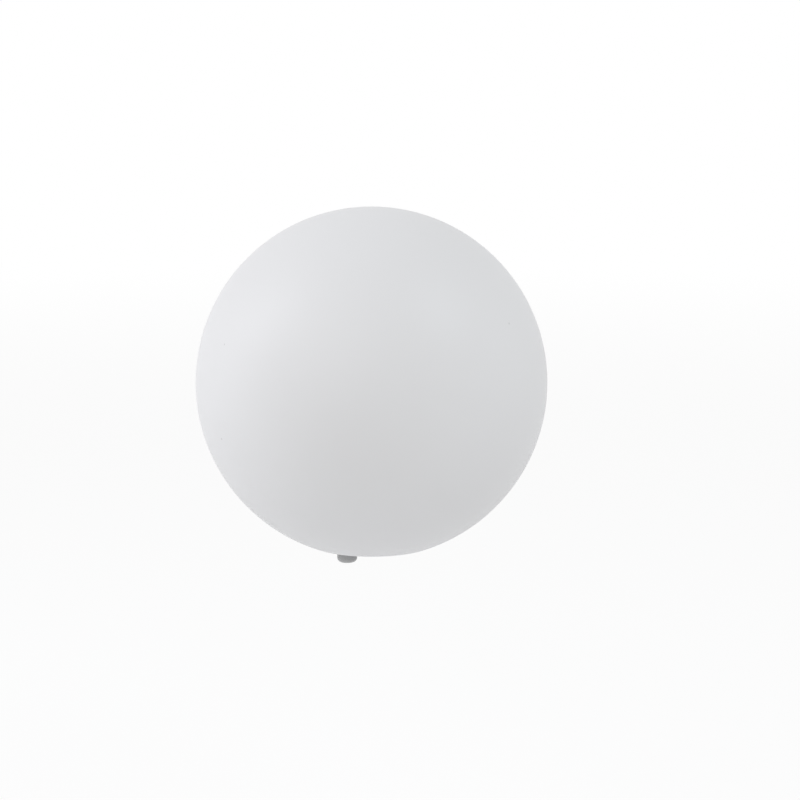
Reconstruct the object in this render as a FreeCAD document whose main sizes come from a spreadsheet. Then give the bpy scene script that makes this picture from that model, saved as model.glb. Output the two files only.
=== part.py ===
"""A mains garden globe light: a hollow opal ball that twist-locks onto a round base.

A collar with bayonet tracks is fixed in the opening under the ball.  The base closes it,
and carries a threaded socket for a ground spike, a cable gland, a breather, a terminal
block and a post with the lampholder and its LED bulb.  Lengths are millimetres, angles
are degrees.

Frame: +Z is up.  The origin is the centre of the mouth of the spike socket, which lies in
the plane of the ball's flat underside.  The cable gland stands to the left (-X) and a
little to the front (-Y).
"""

import FreeCAD, Part
import math
import os

import Sketcher

Vector = FreeCAD.Vector
DOC = FreeCAD.newDocument("garden_globe_light")
SHEET = DOC.addObject("Spreadsheet::Sheet", "Sizes")

# name, value, what it is
DRIVING_SIZES = (
    ("globe_diameter", 400.0, "outside of the ball"),
    ("globe_wall", 3.0, "rotation-moulded wall of the ball"),
    ("flat_margin", 5.0, "flat ring of the ball outside the collar's flange"),
    ("flat_edge_round", 18.0, "radius from the flat ring into the ball"),
    ("neck_bore", 104.0, "inside of the collar that the base goes into"),
    ("neck_wall", 6.0, "wall of the collar, thick enough for the bayonet tracks"),
    ("ledge_bore", 86.0, "hole in the neck's ledge, which the bulb goes through"),
    ("ledge_thickness", 3.0, "ledge at the top of the collar, above the gasket"),
    ("collar_flange", 6.0, "how far the collar's flange reaches under the ball"),
    ("collar_flange_thickness", 1.5, "that flange, flush with the ball's flat"),
    ("lug_count", 3.0, "bayonet lugs round the base"),
    ("lug_angle", 16.0, "width of a lug, as an angle"),
    ("lug_reach", 3.0, "how far a lug stands out of the base's skirt"),
    ("lug_height", 4.0, "height of a lug"),
    ("lug_lift", 3.2, "underside of a lug above the ball's flat"),
    ("twist_angle", 25.0, "turn that frees the ball from the base"),
    ("track_clearance", 0.3, "gap round a lug in its track"),
    ("track_end_angle", 0.6, "angle left between a lug and the end of its track"),
    ("plate_clearance", 0.6, "gap between the base and the collar"),
    ("plate_lift", 6.0, "underside of the base plate above the ball's flat"),
    ("plate_thickness", 3.0, "base plate"),
    ("skirt_wall", 3.0, "rim that hangs from the base plate"),
    ("skirt_lift", 1.5, "lower edge of that rim above the ball's flat"),
    ("grip_width", 5.0, "bar across the underside of the base, to turn it by"),
    ("grip_lift", 2.0, "lower edge of the grip bar above the ball's flat"),
    ("grip_angle", 135.0, "direction of the grip bar"),
    ("gasket_width", 5.0, "sealing ring between base and ball"),
    ("gasket_thickness", 2.5, "sealing ring, as squeezed"),
    ("gasket_inset", 1.0, "gasket's outside from the edge of the base plate"),
    ("gasket_gap", 0.1, "gap between gasket and ledge"),
    ("socket_bore", 8.5, "tapping hole of the M10 spike socket"),
    ("socket_diameter", 14.0, "outside of the brass spike socket"),
    ("socket_length", 20.0, "length of the brass spike socket"),
    ("socket_end", 2.0, "closed inner end of the spike socket"),
    ("socket_boss_wall", 2.5, "plastic round the spike socket"),
    ("socket_knurls", 20.0, "grooves round the spike socket"),
    ("fit_gap", 0.05, "gap where one fixed piece sits in another"),
    ("gland_left", 28.0, "gland axis to the left of the centre"),
    ("gland_front", 11.0, "gland axis in front of the centre"),
    ("gland_thread", 16.0, "M16 thread of the gland"),
    ("gland_thread_depth", 0.8, "depth of that thread"),
    ("gland_pitch", 1.5, "pitch of that thread"),
    ("gland_flats", 20.0, "across flats of the gland's fixed hexagon"),
    ("gland_flange", 5.0, "thickness of that hexagon"),
    ("gland_seal_ring", 1.6, "sealing ring between hexagon and base plate"),
    ("gland_stem_up", 11.0, "thread of the gland above the base plate's underside"),
    ("gland_stem_down", 9.0, "thread of the gland below its hexagon"),
    ("gland_claw_length", 4.0, "slotted claws below that thread"),
    ("gland_claw_count", 6.0, "claws"),
    ("gland_bore", 10.4, "way for the cord through the gland's body"),
    ("gland_seal_bore", 13.2, "wider bore that holds the rubber sleeve"),
    ("locknut_flats", 21.0, "across flats of the nut inside the base"),
    ("locknut_thickness", 5.0, "thickness of that nut"),
    ("cord_bore", 8.2, "hole in the rubber sleeve, for an 8 mm cord"),
    ("sleeve_wall", 2.2, "wall of the rubber sleeve"),
    ("sleeve_length", 12.0, "length of the rubber sleeve"),
    ("dome_nut_diameter", 23.0, "outside of the gland's dome nut"),
    ("dome_nut_flats", 20.6, "across flats of the dome nut's grip"),
    ("dome_nut_grip", 7.6, "length of the dome nut's flats"),
    ("dome_nut_length", 18.0, "length of the dome nut"),
    ("dome_nut_round", 5.2, "rounding of the dome nut's end"),
    ("dome_nut_mouth", 11.6, "hole in the dome nut's end"),
    ("dome_nut_end", 3.4, "thickness of the dome nut's end"),
    ("dome_nut_gap", 0.5, "gap between the dome nut and the fixed hexagon"),
    ("turn_gap", 0.15, "gap round a thread that turns"),
    ("vent_right", 25.0, "breather to the right of the centre"),
    ("vent_back", 28.0, "breather behind the centre"),
    ("vent_stem", 8.0, "stem of the breather through the base plate"),
    ("vent_flange", 13.0, "cap of the breather"),
    ("vent_cap_height", 3.0, "height of the breather's cap"),
    ("vent_hub", 9.6, "snap ring of the breather above the base plate"),
    ("vent_bore", 4.4, "air way through the breather"),
    ("membrane_diameter", 7.0, "breathing membrane"),
    ("membrane_thickness", 0.4, "breathing membrane"),
    ("post_height", 51.0, "post that lifts the lampholder"),
    ("post_diameter", 28.0, "outside of the post"),
    ("post_wall", 2.5, "wall of the post"),
    ("post_top", 3.0, "thickness of the post's top"),
    ("post_foot", 3.0, "thickness of the post's foot"),
    ("post_foot_width", 26.0, "width of the post's foot"),
    ("post_screw_reach", 25.0, "post screws from the centre"),
    ("post_foot_overhang", 6.5, "foot beyond the post screws"),
    ("post_window_width", 11.0, "window for the wires"),
    ("post_window_lift", 16.0, "sill of that window above the base plate"),
    ("post_window_height", 13.0, "window for the wires"),
    ("gusset_thickness", 3.0, "webs beside the post"),
    ("gusset_rise", 24.0, "height of those webs"),
    ("gusset_reach", 6.0, "width of those webs"),
    ("screw_diameter", 3.5, "self-tapping screws"),
    ("screw_head", 7.0, "their pan heads"),
    ("screw_head_height", 2.4, "their pan heads"),
    ("screw_drive", 3.2, "width of the cross in the head"),
    ("screw_drive_depth", 1.3, "depth of that cross"),
    ("screw_drive_slot", 0.8, "slot width of that cross"),
    ("post_screw_bite", 7.0, "post screws in the base plate"),
    ("screw_boss_wall", 2.6, "plastic round a screw"),
    ("screw_boss_floor", 1.2, "plastic below a screw"),
    ("nipple_diameter", 10.0, "hollow threaded nipple"),
    ("nipple_bore", 7.0, "way for the wires through the nipple"),
    ("nipple_above", 6.0, "nipple above the post"),
    ("nipple_below", 7.0, "nipple below the post's top"),
    ("nipple_pitch", 1.0, "its thread"),
    ("nipple_thread_depth", 0.5, "its thread"),
    ("nipple_nut_flats", 14.0, "nut on the nipple"),
    ("nipple_nut_thickness", 3.5, "nut on the nipple"),
    ("holder_diameter", 39.0, "outside of the lampholder"),
    ("holder_foot_diameter", 27.0, "foot of the lampholder's dome"),
    ("holder_dome_height", 22.0, "lampholder's dome up to its joint"),
    ("holder_shoulder", 10.0, "height of the dome's cone"),
    ("holder_floor", 3.0, "floor of the dome"),
    ("holder_collar", 6.0, "dome's collar inside the skirt"),
    ("holder_collar_wall", 1.6, "that collar"),
    ("holder_skirt_wall", 2.0, "skirt round the dome's collar"),
    ("holder_skirt_height", 33.0, "lampholder's skirt"),
    ("holder_skirt_bore", 29.4, "mouth of the skirt"),
    ("holder_ribs", 24.0, "grip ribs round the skirt"),
    ("holder_rib_depth", 0.6, "depth of the grooves between them"),
    ("holder_joint_gap", 0.2, "gap between dome and skirt"),
    ("holder_mouth_diameter", 34.4, "outside of the skirt's upper end"),
    ("holder_band", 12.0, "height of the skirt's ribbed band"),
    ("holder_slope", 4.0, "height over which the skirt narrows"),
    ("core_height", 13.9, "insulating core of the lampholder"),
    ("core_rise", 16.0, "core above the foot of the dome"),
    ("core_recess", 1.9, "recess for the screw shell in the core"),
    ("shell_diameter", 28.6, "outside of the brass screw shell"),
    ("shell_height", 24.0, "brass screw shell"),
    ("shell_floor", 0.8, "floor of the screw shell"),
    ("shell_floor_bore", 15.0, "hole in that floor"),
    ("cap_root", 24.3, "E27 thread, bottom of the groove"),
    ("cap_crest", 26.2, "E27 thread, top of the ridge"),
    ("cap_pitch", 3.629, "E27 thread, seven turns to the inch"),
    ("cap_thread_round", 1.05, "radius of the ridge"),
    ("cap_thread_gap", 0.3, "gap between bulb thread and screw shell"),
    ("plunger_diameter", 8.4, "head of the sprung centre contact"),
    ("plunger_head", 1.5, "head of the sprung centre contact"),
    ("plunger_stem", 3.2, "stem of the sprung centre contact"),
    ("plunger_stem_length", 14.0, "stem of the sprung centre contact, its head included"),
    ("spring_pocket", 10.0, "pocket for the contact spring"),
    ("spring_pocket_depth", 8.0, "pocket for the contact spring"),
    ("spring_diameter", 6.2, "contact spring, across the middle of its wire"),
    ("spring_wire", 0.7, "contact spring"),
    ("spring_turns", 6.0, "contact spring"),
    ("contact_gap", 0.05, "gap between plunger and bulb tip"),
    ("clamp_width", 5.0, "brass clamps of the lampholder"),
    ("clamp_height", 7.0, "brass clamps of the lampholder"),
    ("clamp_depth", 4.0, "brass clamps of the lampholder"),
    ("clamp_reach", 10.0, "those clamps from the centre"),
    ("clamp_screw", 2.6, "screws of those clamps"),
    ("strip_thickness", 0.8, "brass strip under the contact spring"),
    ("strip_width", 3.0, "its tab to the clamp"),
    ("stud_diameter", 2.8, "brass stud from the other clamp to the screw shell"),
    ("bulb_tip_to_rim", 27.0, "E27 cap from its tip to the bulb's body"),
    ("bulb_rim_diameter", 26.4, "plain rim of the cap"),
    ("bulb_rim_height", 3.5, "plain rim of the cap"),
    ("bulb_cap_wall", 0.9, "wall of the cap at the groove"),
    ("bulb_insulator", 3.2, "height of the black insulator"),
    ("bulb_insulator_top", 17.0, "its wide end"),
    ("bulb_insulator_plug", 1.5, "insulator inside the cap"),
    ("bulb_tip_diameter", 9.0, "tip contact"),
    ("bulb_tip_height", 1.0, "tip contact"),
    ("bulb_diameter", 60.0, "A60 bulb"),
    ("bulb_body_height", 46.5, "bulb's body above the cap"),
    ("bulb_body_wall", 1.5, "bulb's body"),
    ("bulb_foot_diameter", 27.4, "foot of the bulb's body"),
    ("bulb_body_curve", 90.0, "radius of the body's flank"),
    ("bulb_mouth_diameter", 56.6, "where body and diffuser meet"),
    ("bulb_mouth_band", 2.6, "straight band below it"),
    ("diffuser_wall", 1.2, "opal diffuser of the bulb"),
    ("diffuser_lip", 2.0, "its lip inside the body"),
    ("sink_plate", 1.6, "aluminium plate under the LED board"),
    ("sink_diameter", 46.0, "the plate, which rests on a ledge in the body"),
    ("sink_depth", 8.0, "its skirt"),
    ("sink_foot_diameter", 32.0, "lower end of its skirt"),
    ("sink_wall", 1.0, "its skirt"),
    ("sink_ledge", 1.6, "width of the ledge in the bulb's body"),
    ("sink_set_down", 3.6, "plate below the mouth of the body"),
    ("board_margin", 2.0, "rim of the plate left bare round the LED board"),
    ("board_thickness", 1.2, "LED board"),
    ("led_count", 12.0, "LED packages"),
    ("led_margin", 4.0, "from the edge of the board to the middle of a package"),
    ("led_length", 3.5, "LED package"),
    ("led_width", 2.8, "LED package"),
    ("led_height", 0.7, "LED package"),
    ("driver_width", 17.0, "driver board, on edge in the bulb"),
    ("driver_thickness", 1.2, "driver board"),
    ("capacitor_diameter", 8.0, "driver's capacitor"),
    ("capacitor_height", 12.0, "driver's capacitor"),
    ("choke_size", 8.0, "driver's choke"),
    ("chip_size", 5.0, "driver's chip"),
    ("chip_height", 1.6, "driver's chip"),
    ("block_length", 23.0, "terminal block, along Y"),
    ("block_width", 18.0, "terminal block, along X"),
    ("block_height", 12.0, "terminal block"),
    ("block_right", 22.0, "its near side from the centre"),
    ("block_tower", 3.0, "screw towers above it"),
    ("block_foot", 2.0, "foot between the two poles"),
    ("block_slot", 7.4, "gap between the two poles, where its screw goes"),
    ("pole_bore", 5.6, "bore for a brass sleeve"),
    ("pole_lift", 6.0, "axis of that bore above the base plate"),
    ("sleeve_diameter", 5.4, "brass sleeve in the terminal block"),
    ("sleeve_hole", 3.2, "wire hole in the brass sleeve"),
    ("pole_sleeve_length", 15.0, "brass sleeve"),
    ("pole_screw", 2.9, "screws of the terminal block"),
    ("pole_screw_spacing", 8.0, "distance between the two screws of a pole"),
    ("pole_screw_length", 6.4, "screws of the terminal block"),
    ("pole_screw_slot", 0.6, "slot in those screws"),
    ("block_screw_bite", 6.0, "terminal block's screw in the base plate"),
    ("wire_diameter", 2.6, "insulated wires inside the lamp"),
    ("wire_core", 1.4, "bare end of a wire"),
    ("wire_bare", 5.0, "length of a bare end"),
    ("wire_bend", 5.0, "bend of a wire"),
    ("wire_spread", 1.7, "wire from the centre line inside the post"),
    ("wire_fan_height", 3.0, "rise over which the wires fan out in the lampholder"),
)


class Size:
    """A length, angle or count that knows its value and the sheet formula behind it."""

    def __init__(self, value, text):
        self.value = float(value)
        self.text = text

    def __add__(self, other):
        other = as_size(other)
        return Size(self.value + other.value, f"({self.text} + {other.text})")

    def __radd__(self, other):
        return as_size(other) + self

    def __sub__(self, other):
        other = as_size(other)
        return Size(self.value - other.value, f"({self.text} - {other.text})")

    def __rsub__(self, other):
        return as_size(other) - self

    def __mul__(self, other):
        other = as_size(other)
        return Size(self.value * other.value, f"({self.text} * {other.text})")

    def __rmul__(self, other):
        return as_size(other) * self

    def __truediv__(self, other):
        other = as_size(other)
        return Size(self.value / other.value, f"({self.text} / {other.text})")

    def __rtruediv__(self, other):
        return as_size(other) / self

    def __neg__(self):
        return Size(-self.value, f"(0 - {self.text})")


def as_size(number):
    """A plain number as a Size."""
    return number if isinstance(number, Size) else Size(number, repr(float(number)))


def root(size):
    """Square root of a Size."""
    return Size(math.sqrt(size.value), f"sqrt({size.text})")


def leg(long_side, short_side):
    """Third side of a right triangle with that hypotenuse and that leg."""
    return root(long_side * long_side - short_side * short_side)


def fill_sheet():
    """Writes the driving sizes into the sheet, one cell each, and returns them by name."""
    sizes = {}
    for row, (name, value, meaning) in enumerate(DRIVING_SIZES, start=1):
        SHEET.set(f"A{row}", str(value))
        SHEET.setAlias(f"A{row}", name)
        SHEET.set(f"B{row}", meaning)
        sizes[name] = Size(value, f"{SHEET.Name}.{name}")
    DOC.recompute()
    return sizes


S = fill_sheet()
NODES = []


def bind(thing, prop, size):
    """Ties a property of an object to a Size."""
    thing.setExpression(prop, as_size(size).text)


def node(thing, label):
    """Names a finished sub-part.  Its label names its file."""
    thing.Label = label
    NODES.append(thing)
    return thing


def place(thing, x=0, y=0, z=0, axis=None, angle=0):
    """Puts an object somewhere, with its coordinates tied to their Sizes."""
    if axis is not None:
        thing.Placement = FreeCAD.Placement(Vector(0, 0, 0), FreeCAD.Rotation(axis, as_size(angle).value))
        if isinstance(angle, Size):
            bind(thing, "Placement.Rotation.Angle", angle)
    for prop, size in (("x", x), ("y", y), ("z", z)):
        bind(thing, f"Placement.Base.{prop}", size)
    return thing


# Sketches and features of a PartDesign body


def new_body(name):
    """An empty body."""
    return DOC.addObject("PartDesign::Body", name)


def origin_feature(body, role):
    """One of a body's own planes or axes."""
    return next(item for item in body.Origin.OriginFeatures if item.Role == role)


def new_sketch(body, name, plane, lift=None, turn=None):
    """A sketch on one of the body's planes, raised along its normal or turned about Z."""
    sketch = body.newObject("Sketcher::SketchObject", name)
    sketch.AttachmentSupport = [(origin_feature(body, plane), "")]
    sketch.MapMode = "FlatFace"
    if lift is not None:
        bind(sketch, "AttachmentOffset.Base.z", lift)
    if turn is not None:
        axis = Vector(0, 1, 0) if plane == "XZ_Plane" else Vector(0, 0, 1)
        sketch.AttachmentOffset = FreeCAD.Placement(Vector(0, 0, 0), FreeCAD.Rotation(axis, 10))
        bind(sketch, "AttachmentOffset.Rotation.Angle", turn)
    return sketch


def pin_point(sketch, geometry, end, x, y):
    """Holds one end of a sketch element at a pair of Sizes."""
    for kind, size in (("DistanceX", x), ("DistanceY", y)):
        size = as_size(size)
        index = sketch.addConstraint(Sketcher.Constraint(kind, -1, 1, geometry, end, size.value))
        sketch.setExpression(f"Constraints[{index}]", size.text)


def add_arc(sketch, start, end, radius, bulge):
    """An arc between two points.  bulge is +1 where it curves to the left of its chord, else -1.

    Returns the element and which of its ends is the start."""
    first = Vector(start[0].value, start[1].value, 0)
    last = Vector(end[0].value, end[1].value, 0)
    chord = last - first
    half = chord.Length / 2
    left = Vector(-chord.y, chord.x, 0).normalize()
    sagitta = radius.value - math.sqrt(max(radius.value**2 - half**2, 0.0))
    middle = (first + last) / 2 + left * (sagitta * bulge)
    centre = middle - left * (radius.value * bulge)
    angles = [math.atan2(p.y - centre.y, p.x - centre.x) for p in (first, last)]
    if bulge > 0:
        angles.reverse()
    circle = Part.Circle(centre, Vector(0, 0, 1), radius.value)
    index = sketch.addGeometry(Part.ArcOfCircle(circle, angles[0], angles[1]), False)
    constraint = sketch.addConstraint(Sketcher.Constraint("Radius", index, radius.value))
    sketch.setExpression(f"Constraints[{constraint}]", radius.text)
    return index, (2 if bulge > 0 else 1)


def draw(sketch, points, arcs=None):
    """Draws a closed outline through points of two Sizes each.

    arcs gives, by the number of the point that an edge starts at, its radius and bulge."""
    arcs = arcs or {}
    points = [(as_size(x), as_size(y)) for x, y in points]
    edges = []
    for number, start in enumerate(points):
        end = points[(number + 1) % len(points)]
        if number in arcs:
            edges.append(add_arc(sketch, start, end, *arcs[number]))
            continue
        line = Part.LineSegment(Vector(start[0].value, start[1].value, 0),
                                Vector(end[0].value, end[1].value, 0))
        edges.append((sketch.addGeometry(line, False), 1))
    for number, (x, y) in enumerate(points):
        geometry, start_end = edges[number]
        before, before_start = edges[number - 1]
        corner = Sketcher.Constraint("Coincident", before, 3 - before_start, geometry, start_end)
        sketch.addConstraint(corner)
        pin_point(sketch, geometry, start_end, x, y)
    return sketch


def draw_circle(sketch, x, y, radius):
    """Draws a circle with its centre and radius tied to their Sizes."""
    x, y, radius = as_size(x), as_size(y), as_size(radius)
    circle = Part.Circle(Vector(x.value, y.value, 0), Vector(0, 0, 1), radius.value)
    index = sketch.addGeometry(circle, False)
    constraint = sketch.addConstraint(Sketcher.Constraint("Radius", index, radius.value))
    sketch.setExpression(f"Constraints[{constraint}]", radius.text)
    pin_point(sketch, index, 3, x, y)
    return sketch


def volume(body):
    """Volume of a body as it stands."""
    DOC.recompute()
    return body.Shape.Volume if body.Tip is not None and not body.Shape.isNull() else 0.0


def feature(body, kind, name, sketch, takes_away):
    """Adds a feature made from a sketch, and returns it with the volume before it."""
    before = volume(body)
    made = body.newObject(f"PartDesign::{kind}", name)
    made.Profile = sketch
    return made, before, takes_away


def settle(body, made, before, takes_away):
    """Stops if a feature added or removed nothing."""
    change = volume(body) - before
    if (change > -1e-6) if takes_away else (change < 1e-6):
        raise RuntimeError(f"{made.Name} changed {body.Name} by {change:.4f} mm3")
    return made


def revolve(body, name, points, arcs=None):
    """Turns an outline of (radius, height) points about Z."""
    sketch = draw(new_sketch(body, f"{name}_outline", "XZ_Plane"), points, arcs)
    made, before, takes_away = feature(body, "Revolution", name, sketch, False)
    made.ReferenceAxis = (sketch, ["V_Axis"])
    made.Angle = 360
    return settle(body, made, before, takes_away)


def sweep_angle(body, name, points, turn, angle, kind="Revolution"):
    """Turns an outline about Z by part of a circle, half to each side of the direction turn."""
    sketch = draw(new_sketch(body, f"{name}_outline", "XZ_Plane", turn=turn), points)
    made, before, takes_away = feature(body, kind, name, sketch, kind == "Groove")
    made.ReferenceAxis = (sketch, ["V_Axis"])
    made.Midplane = True
    bind(made, "Angle", angle)
    return settle(body, made, before, takes_away)


def groove(body, name, points, arcs=None):
    """Cuts an outline turned about Z."""
    sketch = draw(new_sketch(body, f"{name}_outline", "XZ_Plane"), points, arcs)
    made, before, takes_away = feature(body, "Groove", name, sketch, True)
    made.ReferenceAxis = (sketch, ["V_Axis"])
    made.Angle = 360
    return settle(body, made, before, takes_away)


def extrude(body, name, sketch, length, kind="Pad", upwards=True):
    """Pads or pockets a sketch up or down from its plane."""
    made, before, takes_away = feature(body, kind, name, sketch, kind == "Pocket")
    bind(made, "Length", length)
    made.Reversed = upwards if kind == "Pocket" else not upwards
    return settle(body, made, before, takes_away)


def repeat_round(body, name, original, count):
    """Repeats a feature evenly round Z."""
    before = volume(body)
    pattern = body.newObject("PartDesign::PolarPattern", name)
    pattern.Originals = [original]
    pattern.Axis = (origin_feature(body, "Z_Axis"), [""])
    pattern.Angle = 360
    bind(pattern, "Occurrences", count)
    body.Tip = pattern
    if abs(volume(body) - before) < 1e-6:
        raise RuntimeError(f"{name} repeated nothing")
    return pattern


def ring_edges(shape, radius, height):
    """Names of a shape's round edges about Z at a radius and a height."""
    found = []
    for number, edge in enumerate(shape.Edges, start=1):
        if edge.Degenerated or not isinstance(edge.Curve, Part.Circle):
            continue
        curve = edge.Curve
        on_axis = math.hypot(curve.Center.x, curve.Center.y) < 1e-4
        near = abs(curve.Radius - radius.value) < 1e-3 and abs(curve.Center.z - height.value) < 1e-3
        if on_axis and near:
            found.append(f"Edge{number}")
    return found


def ease(body, name, kind, rings, amount):
    """Fillets or chamfers the round edges of a body at (radius, height) pairs."""
    DOC.recompute()
    base = body.Tip
    names = []
    for radius, height in rings:
        found = ring_edges(base.Shape, as_size(radius), as_size(height))
        if not found:
            raise RuntimeError(f"{name} finds no edge")
        names.extend(found)
    made = body.newObject(f"PartDesign::{kind}", name)
    made.Base = (base, names)
    bind(made, "Radius" if kind == "Fillet" else "Size", amount)
    DOC.recompute()
    return made


# Part primitives


def cylinder(name, radius, height, x=0, y=0, z=0, axis=None, angle=0):
    """A Part cylinder that starts at a point and runs along Z, or along Z turned about an axis."""
    made = DOC.addObject("Part::Cylinder", name)
    bind(made, "Radius", radius)
    bind(made, "Height", height)
    return place(made, x, y, z, axis, angle)


def box(name, length, width, height, x=0, y=0, z=0, axis=None, angle=0):
    """A Part box with its lowest corner at a point."""
    made = DOC.addObject("Part::Box", name)
    bind(made, "Length", length)
    bind(made, "Width", width)
    bind(made, "Height", height)
    return place(made, x, y, z, axis, angle)


def hexagon(name, flats, height, x=0, y=0, z=0):
    """A Part prism with six sides, measured across its flats."""
    made = DOC.addObject("Part::Prism", name)
    made.Polygon = 6
    bind(made, "Circumradius", flats / root(as_size(3)))
    bind(made, "Height", height)
    return place(made, x, y, z)


def cut(name, base, tool):
    """A Part cut."""
    made = DOC.addObject("Part::Cut", name)
    made.Base = base
    made.Tool = tool
    return made


def common(name, one, other):
    """What two objects share."""
    made = DOC.addObject("Part::Common", name)
    made.Base = one
    made.Tool = other
    return made


def fuse(name, things):
    """Several objects joined into one."""
    made = DOC.addObject("Part::MultiFuse", name)
    made.Shapes = things
    made.Refine = True
    return made


def group(name, things):
    """Several separate solids as one object."""
    made = DOC.addObject("Part::Compound", name)
    made.Links = things
    return made


def feature_of(name, shape, x=0, y=0, z=0):
    """An object whose shape is made with Part's own functions, then placed."""
    made = DOC.addObject("Part::Feature", name)
    made.Shape = shape
    return place(made, x, y, z)


def helical_ridge(path_radius, pitch, length, outline):
    """A ridge or groove tool that climbs round Z along a helix.

    outline is a closed wire in the plane of X and Z, near path_radius."""
    helix = Part.makeHelix(pitch, length, path_radius)
    return Part.Wire(helix.Edges).makePipeShell([outline], True, True)


def thread_rings(crest, core, pitch, low, high):
    """Outline points of a fine thread between two heights, each turn drawn as a ring."""
    count = max(1, int((high - low) / pitch))
    step = (high - low) / count
    points = [(core, low)]
    for number in range(count):
        foot = low + number * step
        points += [(crest, foot + step * 0.42), (crest, foot + step * 0.58), (core, foot + step)]
    return points


def turned_solid(points):
    """A closed outline of (radius, height) points, turned about Z."""
    corners = [Vector(x, 0, z) for x, z in points]
    outline = Part.Face(Part.makePolygon(corners + corners[:1]))
    return outline.revolve(Vector(0, 0, 0), Vector(0, 0, 1), 360)


def pan_screw(name, x, y, seat, bite):
    """A pan-head screw with a cross in its head.  seat is the height that its head rests at."""
    head_top = seat + S["screw_head_height"]
    arm = S["screw_drive"]
    slot = S["screw_drive_slot"]
    shank = cylinder(f"{name}_shank", S["screw_diameter"] / 2, bite, x, y, seat - bite)
    head = cylinder(f"{name}_head", S["screw_head"] / 2, S["screw_head_height"], x, y, seat)
    bar = box(f"{name}_bar", arm, slot, S["screw_drive_depth"],
              x - arm / 2, y - slot / 2, head_top - S["screw_drive_depth"])
    cross = box(f"{name}_cross", slot, arm, S["screw_drive_depth"],
                x - slot / 2, y - arm / 2, head_top - S["screw_drive_depth"])
    whole = fuse(f"{name}_solid", [shank, head])
    return cut(name, whole, fuse(f"{name}_drive", [bar, cross]))


# Heights that several pieces share, from the ball's flat underside up

GLOBE_RADIUS = S["globe_diameter"] / 2
FLAT_RADIUS = S["neck_bore"] / 2 + S["neck_wall"] + S["collar_flange"] + S["flat_margin"]
NECK_RADIUS = S["neck_bore"] / 2
COLLAR_RADIUS = NECK_RADIUS + S["neck_wall"]
PLATE_RADIUS = NECK_RADIUS - S["plate_clearance"]
PLATE_UNDER = S["plate_lift"]
PLATE_TOP = PLATE_UNDER + S["plate_thickness"]
GLOBE_CENTRE = leg(GLOBE_RADIUS, FLAT_RADIUS)
LEDGE_UNDER = PLATE_TOP + S["gasket_thickness"] + S["gasket_gap"]
LEDGE_TOP = LEDGE_UNDER + S["ledge_thickness"]
GLAND_X = -S["gland_left"]
GLAND_Y = -S["gland_front"]
GLAND_FLANGE_TOP = PLATE_UNDER - S["gland_seal_ring"]
GLAND_FLANGE_UNDER = GLAND_FLANGE_TOP - S["gland_flange"]
DOME_NUT_TOP = GLAND_FLANGE_UNDER - S["dome_nut_gap"]
POST_TOP = PLATE_TOP + S["post_height"]
SOCKET_TOP = S["socket_length"] + S["fit_gap"]
CORE_FOOT = POST_TOP + S["core_rise"]
CORE_TOP = CORE_FOOT + S["core_height"]
SHELL_FOOT = CORE_TOP - S["core_recess"]
BULB_TIP = SHELL_FOOT + S["shell_floor"] + S["plunger_head"] + S["contact_gap"]
BULB_RIM = BULB_TIP + S["bulb_tip_to_rim"]
BULB_MOUTH = BULB_RIM + S["bulb_body_height"]
POLE_HALF_PITCH = (S["block_length"] + S["block_slot"]) / 4


def make_globe():
    """The opal ball: one hollow moulding with a flat ring round its opening."""
    body = new_body("globe_shell")
    inner = GLOBE_RADIUS - S["globe_wall"]
    floor_edge = leg(inner, GLOBE_CENTRE - S["globe_wall"])
    opening = COLLAR_RADIUS + S["fit_gap"]
    recess = COLLAR_RADIUS + S["collar_flange"] + S["fit_gap"]
    recess_top = S["collar_flange_thickness"] + S["fit_gap"]
    outline = [
        (0, GLOBE_CENTRE + GLOBE_RADIUS),
        (GLOBE_RADIUS, GLOBE_CENTRE),
        (FLAT_RADIUS, 0),
        (recess, 0),
        (recess, recess_top),
        (opening, recess_top),
        (opening, S["globe_wall"]),
        (floor_edge, S["globe_wall"]),
        (inner, GLOBE_CENTRE),
        (0, GLOBE_CENTRE + inner),
    ]
    arcs = {0: (GLOBE_RADIUS, 1), 1: (GLOBE_RADIUS, 1), 7: (inner, -1), 8: (inner, -1)}
    revolve(body, "ball", outline, arcs)
    ease(body, "flat_round", "Fillet", [(FLAT_RADIUS, 0)], S["flat_edge_round"])
    return node(body, "globe_shell")


def make_collar():
    """The collar welded into the ball: flange, neck with bayonet tracks, and sealing ledge."""
    body = new_body("globe_collar")
    flange = COLLAR_RADIUS + S["collar_flange"]
    ledge_radius = S["ledge_bore"] / 2
    revolve(body, "ring", [
        (NECK_RADIUS, 0),
        (flange, 0),
        (flange, S["collar_flange_thickness"]),
        (COLLAR_RADIUS, S["collar_flange_thickness"]),
        (COLLAR_RADIUS, LEDGE_TOP),
        (ledge_radius, LEDGE_TOP),
        (ledge_radius, LEDGE_UNDER),
        (NECK_RADIUS, LEDGE_UNDER),
    ])
    make_tracks(body)
    return node(body, "globe_collar")


def make_tracks(body):
    """L-shaped bayonet tracks in the collar: a way in, and a run that a lug is locked in."""
    gap = S["track_clearance"]
    wide = S["lug_angle"] + 2 * S["track_end_angle"]
    depth = PLATE_RADIUS + S["lug_reach"] + gap
    low = S["lug_lift"] - gap
    high = S["lug_lift"] + S["lug_height"] + gap
    inside = NECK_RADIUS - 1
    run = [(inside, low), (depth, low), (depth, high), (inside, high)]
    entry = [(inside, -1), (depth, -1), (depth, high), (inside, high)]
    turn = S["twist_angle"]
    run_cut = sweep_angle(body, "track_run", run, -turn / 2, wide + turn, "Groove")
    repeat_round(body, "track_runs", run_cut, S["lug_count"])
    entry_cut = sweep_angle(body, "track_entry", entry, -turn, wide, "Groove")
    repeat_round(body, "track_entries", entry_cut, S["lug_count"])


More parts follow.
